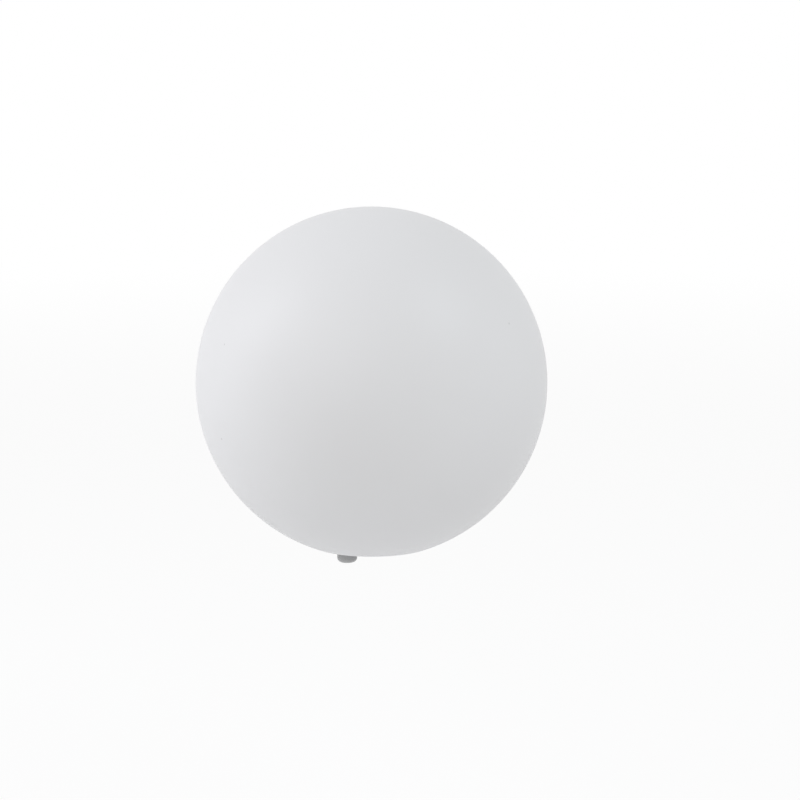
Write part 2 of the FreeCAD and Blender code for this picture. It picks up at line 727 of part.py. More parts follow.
def drill(body, name, x, y, radius, top, depth):
    """A round hole down from a height."""
    sketch = draw_circle(new_sketch(body, f"{name}_circle", "XY_Plane", lift=top), x, y, radius)
    return extrude(body, name, sketch, depth, "Pocket", upwards=False)


def stand(body, name, x, y, radius, top, height):
    """A round boss down from a height."""
    sketch = draw_circle(new_sketch(body, f"{name}_circle", "XY_Plane", lift=top), x, y, radius)
    return extrude(body, name, sketch, height, "Pad", upwards=False)


def cut_pocket(body, name, points, floor, height):
    """A pocket with straight sides, up from a height."""
    sketch = draw(new_sketch(body, f"{name}_outline", "XY_Plane", lift=floor), points)
    return extrude(body, name, sketch, height, "Pocket", upwards=True)


def make_base_plate():
    """The round base: plate, hanging skirt with lugs, spike boss, grip bar and screw bosses."""
    body = new_body("base_plate")
    boss = S["socket_diameter"] / 2 + S["fit_gap"] + S["socket_boss_wall"]
    boss_top = SOCKET_TOP + S["socket_boss_wall"]
    skirt_inside = PLATE_RADIUS - S["skirt_wall"]
    revolve(body, "plate", [
        (0, boss_top),
        (boss, boss_top),
        (boss, PLATE_TOP),
        (PLATE_RADIUS, PLATE_TOP),
        (PLATE_RADIUS, S["skirt_lift"]),
        (skirt_inside, S["skirt_lift"]),
        (skirt_inside, PLATE_UNDER),
        (boss, PLATE_UNDER),
        (boss, 0),
        (0, 0),
    ])
    grip = new_sketch(body, "grip_outline", "XY_Plane", lift=S["grip_lift"], turn=S["grip_angle"])
    reach = skirt_inside + S["skirt_wall"] / 2
    half = S["grip_width"] / 2
    draw(grip, [(-reach, -half), (reach, -half), (reach, half), (-reach, half)])
    extrude(body, "grip_bar", grip, PLATE_UNDER + S["plate_thickness"] / 2 - S["grip_lift"])
    lug_root = PLATE_RADIUS - S["skirt_wall"] / 2
    lug_top = S["lug_lift"] + S["lug_height"]
    tip = PLATE_RADIUS + S["lug_reach"]
    lug = sweep_angle(body, "lug", [
        (lug_root, S["lug_lift"]), (tip, S["lug_lift"]), (tip, lug_top), (lug_root, lug_top),
    ], 0, S["lug_angle"])
    repeat_round(body, "lugs", lug, S["lug_count"])
    drill_base(body)
    return node(body, "base_plate")


def drill_base(body):
    """The holes and screw bosses of the base."""
    middle = PLATE_UNDER + S["plate_thickness"] / 2
    screw_radius = S["screw_diameter"] / 2
    boss = screw_radius + S["screw_boss_wall"]
    seats = [
        ("post_screw_back", 0, S["post_screw_reach"], S["post_screw_bite"]),
        ("post_screw_front", 0, -S["post_screw_reach"], S["post_screw_bite"]),
        ("block_screw", S["block_right"] + S["block_width"] / 2, 0, S["block_screw_bite"]),
    ]
    for name, x, y, bite in seats:
        foot = PLATE_TOP - bite - S["fit_gap"] - S["screw_boss_floor"]
        stand(body, f"{name}_boss", x, y, boss, middle, middle - foot)
        drill(body, f"{name}_hole", x, y, screw_radius + S["fit_gap"], PLATE_TOP, bite + S["fit_gap"])
    gland_hole = S["gland_thread"] / 2 + S["fit_gap"]
    through = S["plate_thickness"] + 1
    drill(body, "gland_hole", GLAND_X, GLAND_Y, gland_hole, PLATE_TOP, through)
    vent_hole = S["vent_stem"] / 2 + S["fit_gap"]
    drill(body, "vent_hole", S["vent_right"], S["vent_back"], vent_hole, PLATE_TOP, through)
    mouth = new_sketch(body, "socket_circle", "XY_Plane")
    draw_circle(mouth, 0, 0, S["socket_diameter"] / 2 + S["fit_gap"])
    extrude(body, "socket_pocket", mouth, SOCKET_TOP, "Pocket", upwards=True)


def make_base_gasket():
    """The soft ring that the ball's ledge presses on the base plate."""
    body = new_body("base_gasket")
    outer = PLATE_RADIUS - S["gasket_inset"]
    inner = outer - S["gasket_width"]
    top = PLATE_TOP + S["gasket_thickness"]
    revolve(body, "ring", [(inner, PLATE_TOP), (outer, PLATE_TOP), (outer, top), (inner, top)])
    ease(body, "ring_round", "Fillet", [(inner, top), (outer, top)], S["gasket_thickness"] * 0.3)
    return node(body, "base_gasket")


def make_spike_socket():
    """The brass insert with the tapping hole for the ground spike."""
    body = new_body("spike_socket")
    bore = S["socket_bore"] / 2
    outer = S["socket_diameter"] / 2
    length = S["socket_length"]
    waist = outer - (outer - bore) * 0.2
    low = length * 0.45
    high = length * 0.55
    revolve(body, "sleeve", [
        (bore, 0), (outer, 0), (outer, low), (waist, low), (waist, high), (outer, high),
        (outer, length), (0, length), (0, length - S["socket_end"]), (bore, length - S["socket_end"]),
    ])
    notch = new_sketch(body, "knurl_outline", "XY_Plane")
    depth = (outer - bore) * 0.12
    draw(notch, [(outer - depth, 0), (outer + depth, -depth * 2), (outer + depth, depth * 2)])
    cut_once = extrude(body, "knurl", notch, length, "Pocket", upwards=True)
    repeat_round(body, "knurls", cut_once, S["socket_knurls"])
    return node(body, "spike_socket")


def make_gland():
    """The cable gland: fixed body, sealing ring, locknut, rubber sleeve and dome nut."""
    make_gland_body()
    crest = S["gland_thread"] / 2
    outer = S["gland_flats"] / 2 - 0.4
    ring = cut("gland_seal_ring_cut",
               cylinder("gland_ring_disc", outer, S["gland_seal_ring"], GLAND_X, GLAND_Y, GLAND_FLANGE_TOP),
               cylinder("gland_ring_hole", crest + S["turn_gap"], S["gland_seal_ring"],
                        GLAND_X, GLAND_Y, GLAND_FLANGE_TOP))
    node(ring, "gland_seal_ring")
    blank = hexagon("locknut_blank", S["locknut_flats"], S["locknut_thickness"], GLAND_X, GLAND_Y, PLATE_TOP)
    turned = cylinder("locknut_turned", S["locknut_flats"] / root(as_size(3)) * 0.96,
                      S["locknut_thickness"], GLAND_X, GLAND_Y, PLATE_TOP)
    hole = cylinder("locknut_hole", crest + S["fit_gap"], S["locknut_thickness"],
                    GLAND_X, GLAND_Y, PLATE_TOP)
    node(cut("gland_locknut_cut", common("locknut_round", blank, turned), hole), "gland_locknut")
    make_sleeve()
    make_dome_nut()


def make_gland_body():
    """Body of the gland: thread through the base, hexagon, lower thread and claws."""
    crest = S["gland_thread"] / 2
    core = crest - S["gland_thread_depth"]
    top = PLATE_UNDER + S["gland_stem_up"]
    claw_top = GLAND_FLANGE_UNDER - S["gland_stem_down"]
    claw_foot = claw_top - S["gland_claw_length"]
    seat = S["gland_seal_bore"] / 2
    seat_top = claw_foot + S["sleeve_length"]
    way = S["gland_bore"] / 2
    pitch = S["gland_pitch"].value
    outline = [(seat.value, claw_foot.value), (core.value, claw_foot.value)]
    outline += thread_rings(crest.value, core.value, pitch, claw_top.value, GLAND_FLANGE_UNDER.value)
    outline += thread_rings(crest.value, core.value, pitch, GLAND_FLANGE_TOP.value, top.value)
    outline += [(way.value, top.value), (way.value, seat_top.value), (seat.value, seat_top.value)]
    stem = feature_of("gland_stem", turned_solid(outline), GLAND_X, GLAND_Y, 0)
    flange = cut("gland_flange",
                 hexagon("gland_flange_hexagon", S["gland_flats"], S["gland_flange"],
                         GLAND_X, GLAND_Y, GLAND_FLANGE_UNDER),
                 cylinder("gland_flange_hole", core - S["gland_thread_depth"], S["gland_flange"],
                          GLAND_X, GLAND_Y, GLAND_FLANGE_UNDER))
    slots = []
    count = int(S["gland_claw_count"].value)
    for number in range(count):
        angle = Size(number * 360.0 / count, f"({number} * 360 / {S['gland_claw_count'].text})")
        slots.append(box(f"gland_slot_{number + 1}", crest, S["gland_thread_depth"],
                         S["gland_claw_length"], GLAND_X, GLAND_Y, claw_foot, Vector(0, 0, 1), angle))
    node(cut("gland_body_cut", fuse("gland_body_solid", [stem, flange]), fuse("gland_slots", slots)),
         "gland_body")


def make_sleeve():
    """The rubber sleeve that the dome nut squeezes round the cord."""
    body = new_body("gland_sleeve")
    bore = S["cord_bore"] / 2
    outer = bore + S["sleeve_wall"]
    foot = DOME_NUT_TOP - S["dome_nut_length"] + S["dome_nut_end"] + S["fit_gap"]
    lip = S["sleeve_wall"] * 0.5
    revolve(body, "sleeve", [
        (bore, foot), (outer - lip, foot), (outer, foot + lip), (outer, foot + S["sleeve_length"]),
        (bore, foot + S["sleeve_length"]),
    ])
    place(body, GLAND_X, GLAND_Y, 0)
    return node(body, "gland_sleeve")


def make_dome_nut():
    """The grey dome nut, the one piece of the base that shows below the ball from the side."""
    body = new_body("gland_dome_nut")
    outer = S["dome_nut_diameter"] / 2
    foot = DOME_NUT_TOP - S["dome_nut_length"]
    mouth = S["dome_nut_mouth"] / 2
    bore = S["gland_thread"] / 2 + S["turn_gap"]
    rounding = S["dome_nut_round"]
    cone_foot = foot + S["dome_nut_end"]
    cone_top = cone_foot + (bore - mouth)
    revolve(body, "nut", [
        (mouth, foot), (outer - rounding, foot), (outer, foot + rounding), (outer, DOME_NUT_TOP),
        (bore, DOME_NUT_TOP), (bore, cone_top), (mouth + 0.6, cone_foot), (mouth, cone_foot),
    ], {1: (rounding, -1)})
    half = S["dome_nut_flats"] / 2
    flat = new_sketch(body, "flat_outline", "XY_Plane", lift=DOME_NUT_TOP)
    draw(flat, [(half, -outer), (outer + 1, -outer), (outer + 1, outer), (half, outer)])
    flat_cut = extrude(body, "flat", flat, S["dome_nut_grip"], "Pocket", upwards=False)
    repeat_round(body, "flats", flat_cut, as_size(6))
    place(body, GLAND_X, GLAND_Y, 0)
    return node(body, "gland_dome_nut")


def make_breather():
    """The breather that keeps dew out of the ball, and its membrane."""
    body = new_body("breather_body")
    stem = S["vent_stem"] / 2
    cap = S["vent_flange"] / 2
    bore = S["vent_bore"] / 2
    cap_under = PLATE_UNDER - S["vent_cap_height"]
    hub = S["vent_hub"] / 2
    hub_top = PLATE_TOP + S["vent_stem"] / 4
    seat_radius = S["membrane_diameter"] / 2 + S["fit_gap"]
    seat_depth = S["membrane_thickness"] * 3
    revolve(body, "plug", [
        (bore, cap_under + seat_depth), (seat_radius, cap_under + seat_depth), (seat_radius, cap_under),
        (cap - 1.2, cap_under), (cap, cap_under + 1.2), (cap, PLATE_UNDER), (stem, PLATE_UNDER),
        (stem, PLATE_TOP + S["fit_gap"]), (hub, PLATE_TOP + S["fit_gap"]), (stem, hub_top), (bore, hub_top),
    ])
    slot = new_sketch(body, "cap_slot_outline", "XY_Plane", lift=cap_under)
    draw(slot, [(seat_radius - 0.5, -0.6), (cap + 1, -0.6), (cap + 1, 0.6), (seat_radius - 0.5, 0.6)])
    slot_cut = extrude(body, "cap_slot", slot, seat_depth * 0.6, "Pocket", upwards=True)
    repeat_round(body, "cap_slots", slot_cut, as_size(6))
    place(body, S["vent_right"], S["vent_back"], 0)
    node(body, "breather_body")
    membrane = cylinder("membrane_disc", S["membrane_diameter"] / 2, S["membrane_thickness"],
                        S["vent_right"], S["vent_back"],
                        cap_under + seat_depth - S["membrane_thickness"])
    node(membrane, "breather_membrane")


def make_post():
    """The hollow post with its foot, webs and window, and the two screws that hold it."""
    body = new_body("lamp_post")
    outer = S["post_diameter"] / 2
    inner = outer - S["post_wall"]
    hole = S["nipple_diameter"] / 2 + S["fit_gap"]
    foot_top = PLATE_TOP + S["post_foot"]
    revolve(body, "tube", [
        (inner, PLATE_TOP), (outer, PLATE_TOP), (outer, POST_TOP), (hole, POST_TOP),
        (hole, POST_TOP - S["post_top"]), (inner, POST_TOP - S["post_top"]),
    ])
    half = S["post_foot_width"] / 2
    reach = S["post_screw_reach"] + S["post_foot_overhang"]
    for side, name in ((1, "back"), (-1, "front")):
        foot = new_sketch(body, f"foot_{name}_outline", "XY_Plane", lift=PLATE_TOP)
        near = side * inner + side * S["post_wall"] / 2
        corner = S["post_foot_overhang"]
        width = half - corner
        draw(foot, [
            (-side * half * 0.7, near), (side * half * 0.7, near),
            (side * half, side * (reach - corner)), (side * width, side * reach),
            (-side * width, side * reach), (-side * half, side * (reach - corner)),
        ], {2: (corner, -1), 4: (corner, -1)})
        extrude(body, f"foot_{name}", foot, S["post_foot"])
        web = new_sketch(body, f"web_{name}_outline", "YZ_Plane",
                         lift=-S["gusset_thickness"] / 2)
        web_near = side * (outer - S["post_wall"] / 2)
        web_far = side * (outer + S["gusset_reach"] * 0.6)
        draw(web, [
            (web_near, foot_top - S["post_foot"] / 2), (web_far, foot_top - S["post_foot"] / 2),
            (web_near, foot_top + S["gusset_rise"]),
        ])
        extrude(body, f"web_{name}", web, S["gusset_thickness"])
        drill(body, f"foot_{name}_hole", 0, side * S["post_screw_reach"],
              S["screw_diameter"] / 2 + 2 * S["fit_gap"], foot_top, S["post_foot"])
    window = new_sketch(body, "window_outline", "YZ_Plane")
    wide = S["post_window_width"] / 2
    sill = PLATE_TOP + S["post_window_lift"]
    draw(window, [(-wide, sill), (wide, sill), (wide, sill + S["post_window_height"]),
                  (-wide, sill + S["post_window_height"])])
    extrude(body, "window", window, outer + 1, "Pocket", upwards=True)
    node(body, "lamp_post")
    bite = S["post_screw_bite"] + S["post_foot"]
    screws = [
        pan_screw("post_screw_back", as_size(0), S["post_screw_reach"], foot_top, bite),
        pan_screw("post_screw_front", as_size(0), -S["post_screw_reach"], foot_top, bite),
    ]
    node(group("post_screw_pair", screws), "post_screws")


def make_nipple():
    """The hollow threaded nipple that joins lampholder and post, and its nut."""
    crest = S["nipple_diameter"] / 2
    core = crest - S["nipple_thread_depth"]
    length = S["nipple_below"] + S["post_top"] + S["nipple_above"]
    foot = POST_TOP - S["post_top"] - S["nipple_below"]
    bore = S["nipple_bore"].value / 2
    outline = thread_rings(crest.value, core.value, S["nipple_pitch"].value, 0, length.value)
    outline += [(bore, length.value), (bore, 0)]
    node(feature_of("nipple_tube", turned_solid(outline), 0, 0, foot), "threaded_nipple")
    nut_foot = POST_TOP - S["post_top"] - S["nipple_nut_thickness"]
    blank = hexagon("nipple_nut_blank", S["nipple_nut_flats"], S["nipple_nut_thickness"], 0, 0, nut_foot)
    hole = cylinder("nipple_nut_hole", crest + S["fit_gap"], S["nipple_nut_thickness"], 0, 0, nut_foot)
    node(cut("nipple_nut_cut", blank, hole), "nipple_nut")


def make_holder_dome():
    """The lower half of the lampholder, which screws onto the nipple."""
    body = new_body("holder_dome")
    outer = S["holder_diameter"] / 2
    hole = S["nipple_diameter"] / 2 + S["fit_gap"]
    foot = S["holder_foot_diameter"] / 2
    collar = outer - S["holder_skirt_wall"] - S["holder_joint_gap"]
    inner = collar - S["holder_collar_wall"]
    joint = POST_TOP + S["holder_dome_height"]
    floor = POST_TOP + S["holder_floor"]
    ledge = inner - 2.2
    revolve(body, "dome", [
        (hole, POST_TOP), (foot, POST_TOP), (outer, POST_TOP + S["holder_shoulder"]), (outer, joint),
        (collar, joint), (collar, joint + S["holder_collar"]), (inner, joint + S["holder_collar"]),
        (inner, CORE_FOOT), (ledge, CORE_FOOT), (ledge, POST_TOP + S["holder_shoulder"]),
        (foot - S["holder_floor"], floor), (hole, floor),
    ], {1: (outer * 0.8, -1)})
    return node(body, "holder_dome")


def make_holder_skirt():
    """The upper half of the lampholder, with grip ribs."""
    body = new_body("holder_skirt")
    outer = S["holder_diameter"] / 2
    inner = outer - S["holder_skirt_wall"]
    mouth = S["holder_skirt_bore"] / 2
    foot = POST_TOP + S["holder_dome_height"] + S["holder_joint_gap"] / 2
    top = foot + S["holder_skirt_height"]
    shoulder = CORE_TOP + S["fit_gap"]
    lip = S["holder_mouth_diameter"] / 2
    edge = (lip - mouth) * 0.5
    revolve(body, "skirt", [
        (inner, foot), (outer, foot), (outer, foot + S["holder_band"]),
        (lip, foot + S["holder_band"] + S["holder_slope"]), (lip, top - edge), (lip - edge, top),
        (mouth, top), (mouth, shoulder), (inner, shoulder),
    ])
    flute_inset = S["holder_band"] * 0.15
    flute = new_sketch(body, "flute_circle", "XY_Plane", lift=foot + flute_inset)
    depth = S["holder_rib_depth"]
    draw_circle(flute, outer + depth, 0, 2 * depth)
    flute_cut = extrude(body, "flute", flute, S["holder_band"] - 2 * flute_inset, "Pocket", upwards=True)
    repeat_round(body, "flutes", flute_cut, S["holder_ribs"])
    return node(body, "holder_skirt")


def make_holder_core():
    """The insulating core that carries the contacts inside the lampholder."""
    body = new_body("holder_core")
    outer = (S["holder_diameter"] / 2 - S["holder_skirt_wall"] - S["holder_joint_gap"]
             - S["holder_collar_wall"] - S["fit_gap"])
    recess = S["shell_diameter"] / 2 + S["fit_gap"]
    bore = S["plunger_stem"] / 2 + S["turn_gap"]
    pocket = S["spring_pocket"] / 2
    pocket_foot = SHELL_FOOT - S["spring_pocket_depth"]
    revolve(body, "core", [
        (bore, CORE_FOOT), (outer, CORE_FOOT), (outer, CORE_TOP), (recess, CORE_TOP),
        (recess, SHELL_FOOT), (pocket, SHELL_FOOT), (pocket, pocket_foot), (bore, pocket_foot),
    ])
    gap = S["fit_gap"]
    chamber_height = S["clamp_height"] + gap
    for side, name in ((1, "live"), (-1, "neutral")):
        near = side * (S["clamp_reach"] - S["clamp_depth"] / 2 - gap)
        far = side * (S["clamp_reach"] + S["clamp_depth"] / 2 + gap)
        half = side * (S["clamp_width"] / 2 + gap)
        cut_pocket(body, f"{name}_chamber", [(half, near), (half, far), (-half, far), (-half, near)],
                   CORE_FOOT, chamber_height)
    slot = S["strip_width"] / 2 + gap
    near = pocket - 1
    far = S["clamp_reach"] - S["clamp_depth"] / 2
    cut_pocket(body, "strip_slot", [(slot, near), (slot, far), (-slot, far), (-slot, near)],
               CORE_FOOT, pocket_foot + S["strip_thickness"] + gap - CORE_FOOT)
    drill(body, "stud_hole", 0, -S["clamp_reach"], S["stud_diameter"] / 2 + gap, SHELL_FOOT,
          SHELL_FOOT - CORE_FOOT - chamber_height)
    return node(body, "holder_core")


def make_holder_contacts():
    """The screw shell, the sprung plunger, its spring, and the two clamps with their screws."""
    make_screw_shell()
    plunger_top = BULB_TIP - S["contact_gap"]
    head = cylinder("plunger_head_disc", S["plunger_diameter"] / 2, S["plunger_head"],
                    0, 0, plunger_top - S["plunger_head"])
    stem = cylinder("plunger_stem_rod", S["plunger_stem"] / 2, S["plunger_stem_length"],
                    0, 0, plunger_top - S["plunger_stem_length"])
    node(fuse("centre_contact_solid", [head, stem]), "centre_contact")
    wire = S["spring_wire"].value / 2
    spring_foot = SHELL_FOOT - S["spring_pocket_depth"] + S["strip_thickness"] + S["fit_gap"]
    spring_top = plunger_top - S["plunger_head"] - S["fit_gap"]
    rise = (spring_top - spring_foot).value - 2 * wire
    coil_radius = S["spring_diameter"].value / 2
    coil = helical_ridge(coil_radius, rise / S["spring_turns"].value, rise,
                         Part.Wire([Part.makeCircle(wire, Vector(coil_radius, 0, 0), Vector(0, 1, 0))]))
    node(feature_of("contact_spring_coil", coil, 0, 0, spring_foot + S["spring_wire"] / 2), "contact_spring")
    make_clamps()


def make_screw_shell():
    """The brass shell with the E27 thread."""
    outer = S["shell_diameter"] / 2
    gap = S["cap_thread_gap"]
    minor = (S["cap_root"] / 2 + gap).value
    ridge = S["cap_thread_round"].value + gap.value
    reach = (S["cap_crest"] / 2 + gap).value
    pitch = S["cap_pitch"].value
    height = S["shell_height"].value
    outline = Part.Wire([Part.makeCircle(ridge, Vector(reach - ridge, 0, 0), Vector(0, 1, 0))])
    thread = helical_ridge(minor, pitch, height + 2 * pitch, outline)
    thread.translate(Vector(0, 0, thread_phase() - pitch))
    floor = S["shell_floor"].value
    hollow = Part.makeCylinder(minor, height, Vector(0, 0, floor))
    thread = thread.common(Part.makeCylinder(outer.value, height, Vector(0, 0, floor)))
    mouth = Part.makeCylinder(S["shell_floor_bore"].value / 2, floor)
    shell = Part.makeCylinder(outer.value, height).cut(hollow.fuse([thread, mouth]))
    node(feature_of("screw_shell_solid", shell, 0, 0, SHELL_FOOT), "holder_screw_shell")


def thread_phase():
    """Height above the screw shell's foot at which both E27 threads cross the plane of X and Z."""
    return (S["cap_pitch"] / 2).value


def make_clamps():
    """Two brass wire clamps in the core, each with its screw, and the brass that leads on."""
    clamps = []
    screws = []
    gap = S["fit_gap"]
    screw_height = CORE_FOOT + S["clamp_height"] * 0.4
    half_width = S["clamp_width"] / 2
    for side, name in ((1, "live"), (-1, "neutral")):
        middle = side * S["clamp_reach"]
        block = box(f"{name}_clamp_block", S["clamp_width"], S["clamp_depth"], S["clamp_height"],
                    -half_width, middle - S["clamp_depth"] / 2, CORE_FOOT)
        way = cylinder(f"{name}_clamp_way", S["wire_core"] / 2 + gap, S["wire_bare"], 0, middle, CORE_FOOT)
        tap = cylinder(f"{name}_clamp_tap", S["clamp_screw"] / 2 + gap, half_width,
                       0, middle, screw_height, Vector(0, 1, 0), 90)
        clamps.append(cut(f"{name}_clamp", block, fuse(f"{name}_clamp_holes", [way, tap])))
        reach = S["wire_core"] / 2 + gap
        screw = cylinder(f"{name}_clamp_screw_rod", S["clamp_screw"] / 2, half_width - reach,
                         reach, middle, screw_height, Vector(0, 1, 0), 90)
        slot_size = S["clamp_screw"] / 4
        slot = box(f"{name}_clamp_screw_slot", slot_size, S["clamp_screw"], slot_size,
                   half_width - slot_size, middle - S["clamp_screw"] / 2, screw_height - slot_size / 2)
        screws.append(cut(f"{name}_clamp_screw", screw, slot))
    node(group("clamp_pair", clamps), "holder_clamps")
    node(group("clamp_screw_pair", screws), "holder_clamp_screws")
    strip_foot = SHELL_FOOT - S["spring_pocket_depth"]
    disc = cylinder("live_strip_disc", S["spring_pocket"] / 2 - gap, S["strip_thickness"], 0, 0, strip_foot)
    tab = box("live_strip_tab", S["strip_width"], S["clamp_reach"] - S["clamp_depth"] / 2 - 2,
              S["strip_thickness"], -S["strip_width"] / 2, 2, strip_foot)
    hole = cylinder("live_strip_hole", S["plunger_stem"] / 2 + S["turn_gap"], S["strip_thickness"],
                    0, 0, strip_foot)
    node(cut("live_strip_cut", fuse("live_strip_solid", [disc, tab]), hole), "holder_live_strip")
    stud_foot = CORE_FOOT + S["clamp_height"]
    node(cylinder("neutral_stud_rod", S["stud_diameter"] / 2, SHELL_FOOT - stud_foot,
                  0, -S["clamp_reach"], stud_foot), "holder_neutral_stud")


def make_bulb():
    """The LED bulb: cap, insulator, tip, body, heat sink, LED board, driver and diffuser."""
    make_bulb_cap()
    make_bulb_body()
    make_bulb_insides()


def make_bulb_cap():
    """E27 cap with its rolled thread, black insulator and tip contact."""
    minor = (S["cap_root"] / 2).value
    ridge = S["cap_thread_round"].value
    pitch = S["cap_pitch"].value
    cap_foot = BULB_TIP + S["bulb_tip_height"] + S["bulb_insulator"]
    thread_top = BULB_RIM - S["bulb_rim_height"]
    length = (thread_top - cap_foot).value
    outline = Part.Wire([Part.makeCircle(ridge, Vector(S["cap_crest"].value / 2 - ridge, 0, 0),
                                         Vector(0, 1, 0))])
    thread = helical_ridge(minor, pitch, length + 3 * pitch, outline)
    shift = (SHELL_FOOT - cap_foot).value + thread_phase()
    turns_down = math.ceil((shift + pitch) / pitch)
    thread.translate(Vector(0, 0, shift - turns_down * pitch))
    core = Part.makeCylinder(minor, length + 4 * pitch, Vector(0, 0, -2 * pitch))
    threaded = core.fuse(thread).common(Part.makeCylinder(minor * 2, length))
    rim_height = S["bulb_rim_height"].value
    rim = Part.makeCylinder(S["bulb_rim_diameter"].value / 2, rim_height, Vector(0, 0, length))
    hollow = Part.makeCylinder(minor - S["bulb_cap_wall"].value, length + rim_height + 2, Vector(0, 0, -1))
    cap = threaded.fuse(rim).cut(hollow)
    node(feature_of("bulb_cap_solid", cap, 0, 0, cap_foot), "bulb_screw_cap")
    insulator = new_body("bulb_insulator")
    wide = S["bulb_insulator_top"] / 2
    tip = S["bulb_tip_diameter"] / 2
    low = BULB_TIP + S["bulb_tip_height"]
    plug = S["cap_root"] / 2 - S["bulb_cap_wall"] - S["fit_gap"]
    revolve(insulator, "insulator", [
        (0, low), (tip, low), (wide, cap_foot - 1), (S["cap_root"] / 2 - 0.6, cap_foot), (plug, cap_foot),
        (plug, cap_foot + S["bulb_insulator_plug"]), (0, cap_foot + S["bulb_insulator_plug"]),
    ])
    node(insulator, "bulb_insulator")
    contact = new_body("bulb_tip_contact")
    revolve(contact, "tip", [
        (0, BULB_TIP), (tip * 0.4, BULB_TIP), (tip * 0.9, low - 0.3), (tip * 0.9, low), (0, low),
    ])
    node(contact, "bulb_tip_contact")


def make_bulb_body():
    """The bulb's plastic body and its opal diffuser."""
    body = new_body("bulb_body")
    wall = S["bulb_body_wall"]
    foot = S["bulb_foot_diameter"] / 2
    mouth = S["bulb_mouth_diameter"] / 2
    inner_foot = S["cap_root"] / 2 - S["bulb_cap_wall"] - S["fit_gap"]
    spigot = BULB_RIM - S["bulb_rim_height"] - 2
    curve = S["bulb_body_curve"]
    seat = BULB_MOUTH - S["diffuser_lip"]
    seat_radius = mouth - wall * 0.6
    sink_radius = S["sink_diameter"] / 2 + S["fit_gap"]
    sink_seat = BULB_MOUTH - S["sink_set_down"] - S["sink_plate"]
    revolve(body, "housing", [
        (inner_foot - wall, spigot), (inner_foot, spigot), (inner_foot, BULB_RIM), (foot, BULB_RIM),
        (mouth, BULB_MOUTH - S["bulb_mouth_band"]), (mouth, BULB_MOUTH),
        (seat_radius, BULB_MOUTH), (seat_radius, seat), (sink_radius, seat),
        (sink_radius, sink_seat), (sink_radius - S["sink_ledge"], sink_seat),
        (inner_foot - wall, BULB_RIM + wall),
    ], {3: (curve, 1), 10: (curve + wall, -1)})
    node(body, "bulb_body")
    diffuser = new_body("bulb_diffuser")
    radius = S["bulb_diameter"] / 2
    inner = radius - S["diffuser_wall"]
    centre = BULB_MOUTH + leg(radius, mouth)
    lip = seat_radius - S["fit_gap"]
    lip_foot = seat + S["fit_gap"]
    lip_inner = lip - S["diffuser_wall"]
    step = BULB_MOUTH + S["diffuser_wall"]
    revolve(diffuser, "dome", [
        (0, centre + radius), (radius, centre), (mouth, BULB_MOUTH + S["fit_gap"]),
        (lip, BULB_MOUTH + S["fit_gap"]), (lip, lip_foot), (lip_inner, lip_foot),
        (lip_inner, step), (leg(inner, centre - step), step), (inner, centre), (0, centre + inner),
    ], {0: (radius, 1), 1: (radius, 1), 7: (inner, -1), 8: (inner, -1)})
    node(diffuser, "bulb_diffuser")


def make_bulb_insides():
    """Heat sink, LED board with its packages, and the driver on edge below them."""
    plate_top = BULB_MOUTH - S["sink_set_down"]
    plate_under = plate_top - S["sink_plate"]
    outer = S["sink_diameter"] / 2
    skirt = outer - S["sink_ledge"] - 4 * S["fit_gap"]
    lower = S["sink_foot_diameter"] / 2
    skirt_foot = plate_top - S["sink_depth"]
    sink = new_body("bulb_heat_sink")
    way = S["driver_width"] / 2 * 0.5
    revolve(sink, "cup", [
        (way, plate_top), (outer, plate_top), (outer, plate_under), (skirt, plate_under),
        (lower, skirt_foot), (lower - S["sink_wall"], skirt_foot),
        (skirt - S["sink_wall"] * 1.2, plate_under), (way, plate_under),
    ])
    node(sink, "bulb_heat_sink")
    board_radius = outer - S["board_margin"]
    board = cut("led_board_cut",
                cylinder("led_board_disc", board_radius, S["board_thickness"], 0, 0, plate_top),
                cylinder("led_board_hole", way / 2, S["board_thickness"], 0, 0, plate_top))
    node(board, "led_board")
    packages = []
    count = int(S["led_count"].value)
    for number in range(count):
        angle = 2 * math.pi * number / count
        text = f"({number} * 360 / {S['led_count'].text})"
        reach = board_radius - S["led_margin"]
        cosine = Size(math.cos(angle), f"cos({text})")
        sine = Size(math.sin(angle), f"sin({text})")
        near = reach - S["led_width"] / 2
        half = S["led_length"] / 2
        packages.append(box(f"led_{number + 1}", S["led_width"], S["led_length"], S["led_height"],
                            cosine * near + sine * half, sine * near - cosine * half,
                            plate_top + S["board_thickness"], Vector(0, 0, 1),
                            Size(math.degrees(angle), text)))
    node(group("led_ring", packages), "led_packages")
    driver_foot = (BULB_TIP + S["bulb_tip_height"] + S["bulb_insulator"] + S["bulb_insulator_plug"])
    driver_height = plate_under - driver_foot
    thickness = S["driver_thickness"]
    driver = box("driver_plate", S["driver_width"], thickness, driver_height,
                 -S["driver_width"] / 2, -thickness / 2, driver_foot)
    node(driver, "driver_board")
    front = -thickness / 2
    capacitor = cylinder("capacitor", S["capacitor_diameter"] / 2, S["capacitor_height"],
                         0, front - S["capacitor_diameter"] / 2,
                         driver_foot + driver_height * 0.45)
    choke = box("choke", S["choke_size"], S["choke_size"] * 0.6, S["choke_size"],
                -S["choke_size"] / 2, thickness / 2, driver_foot + driver_height * 0.5)
    chip = box("chip", S["chip_size"], S["chip_height"], S["chip_size"],
               -S["chip_size"] / 2, thickness / 2, driver_foot + driver_height * 0.25)
    node(group("driver_part_group", [capacitor, choke, chip]), "driver_parts")


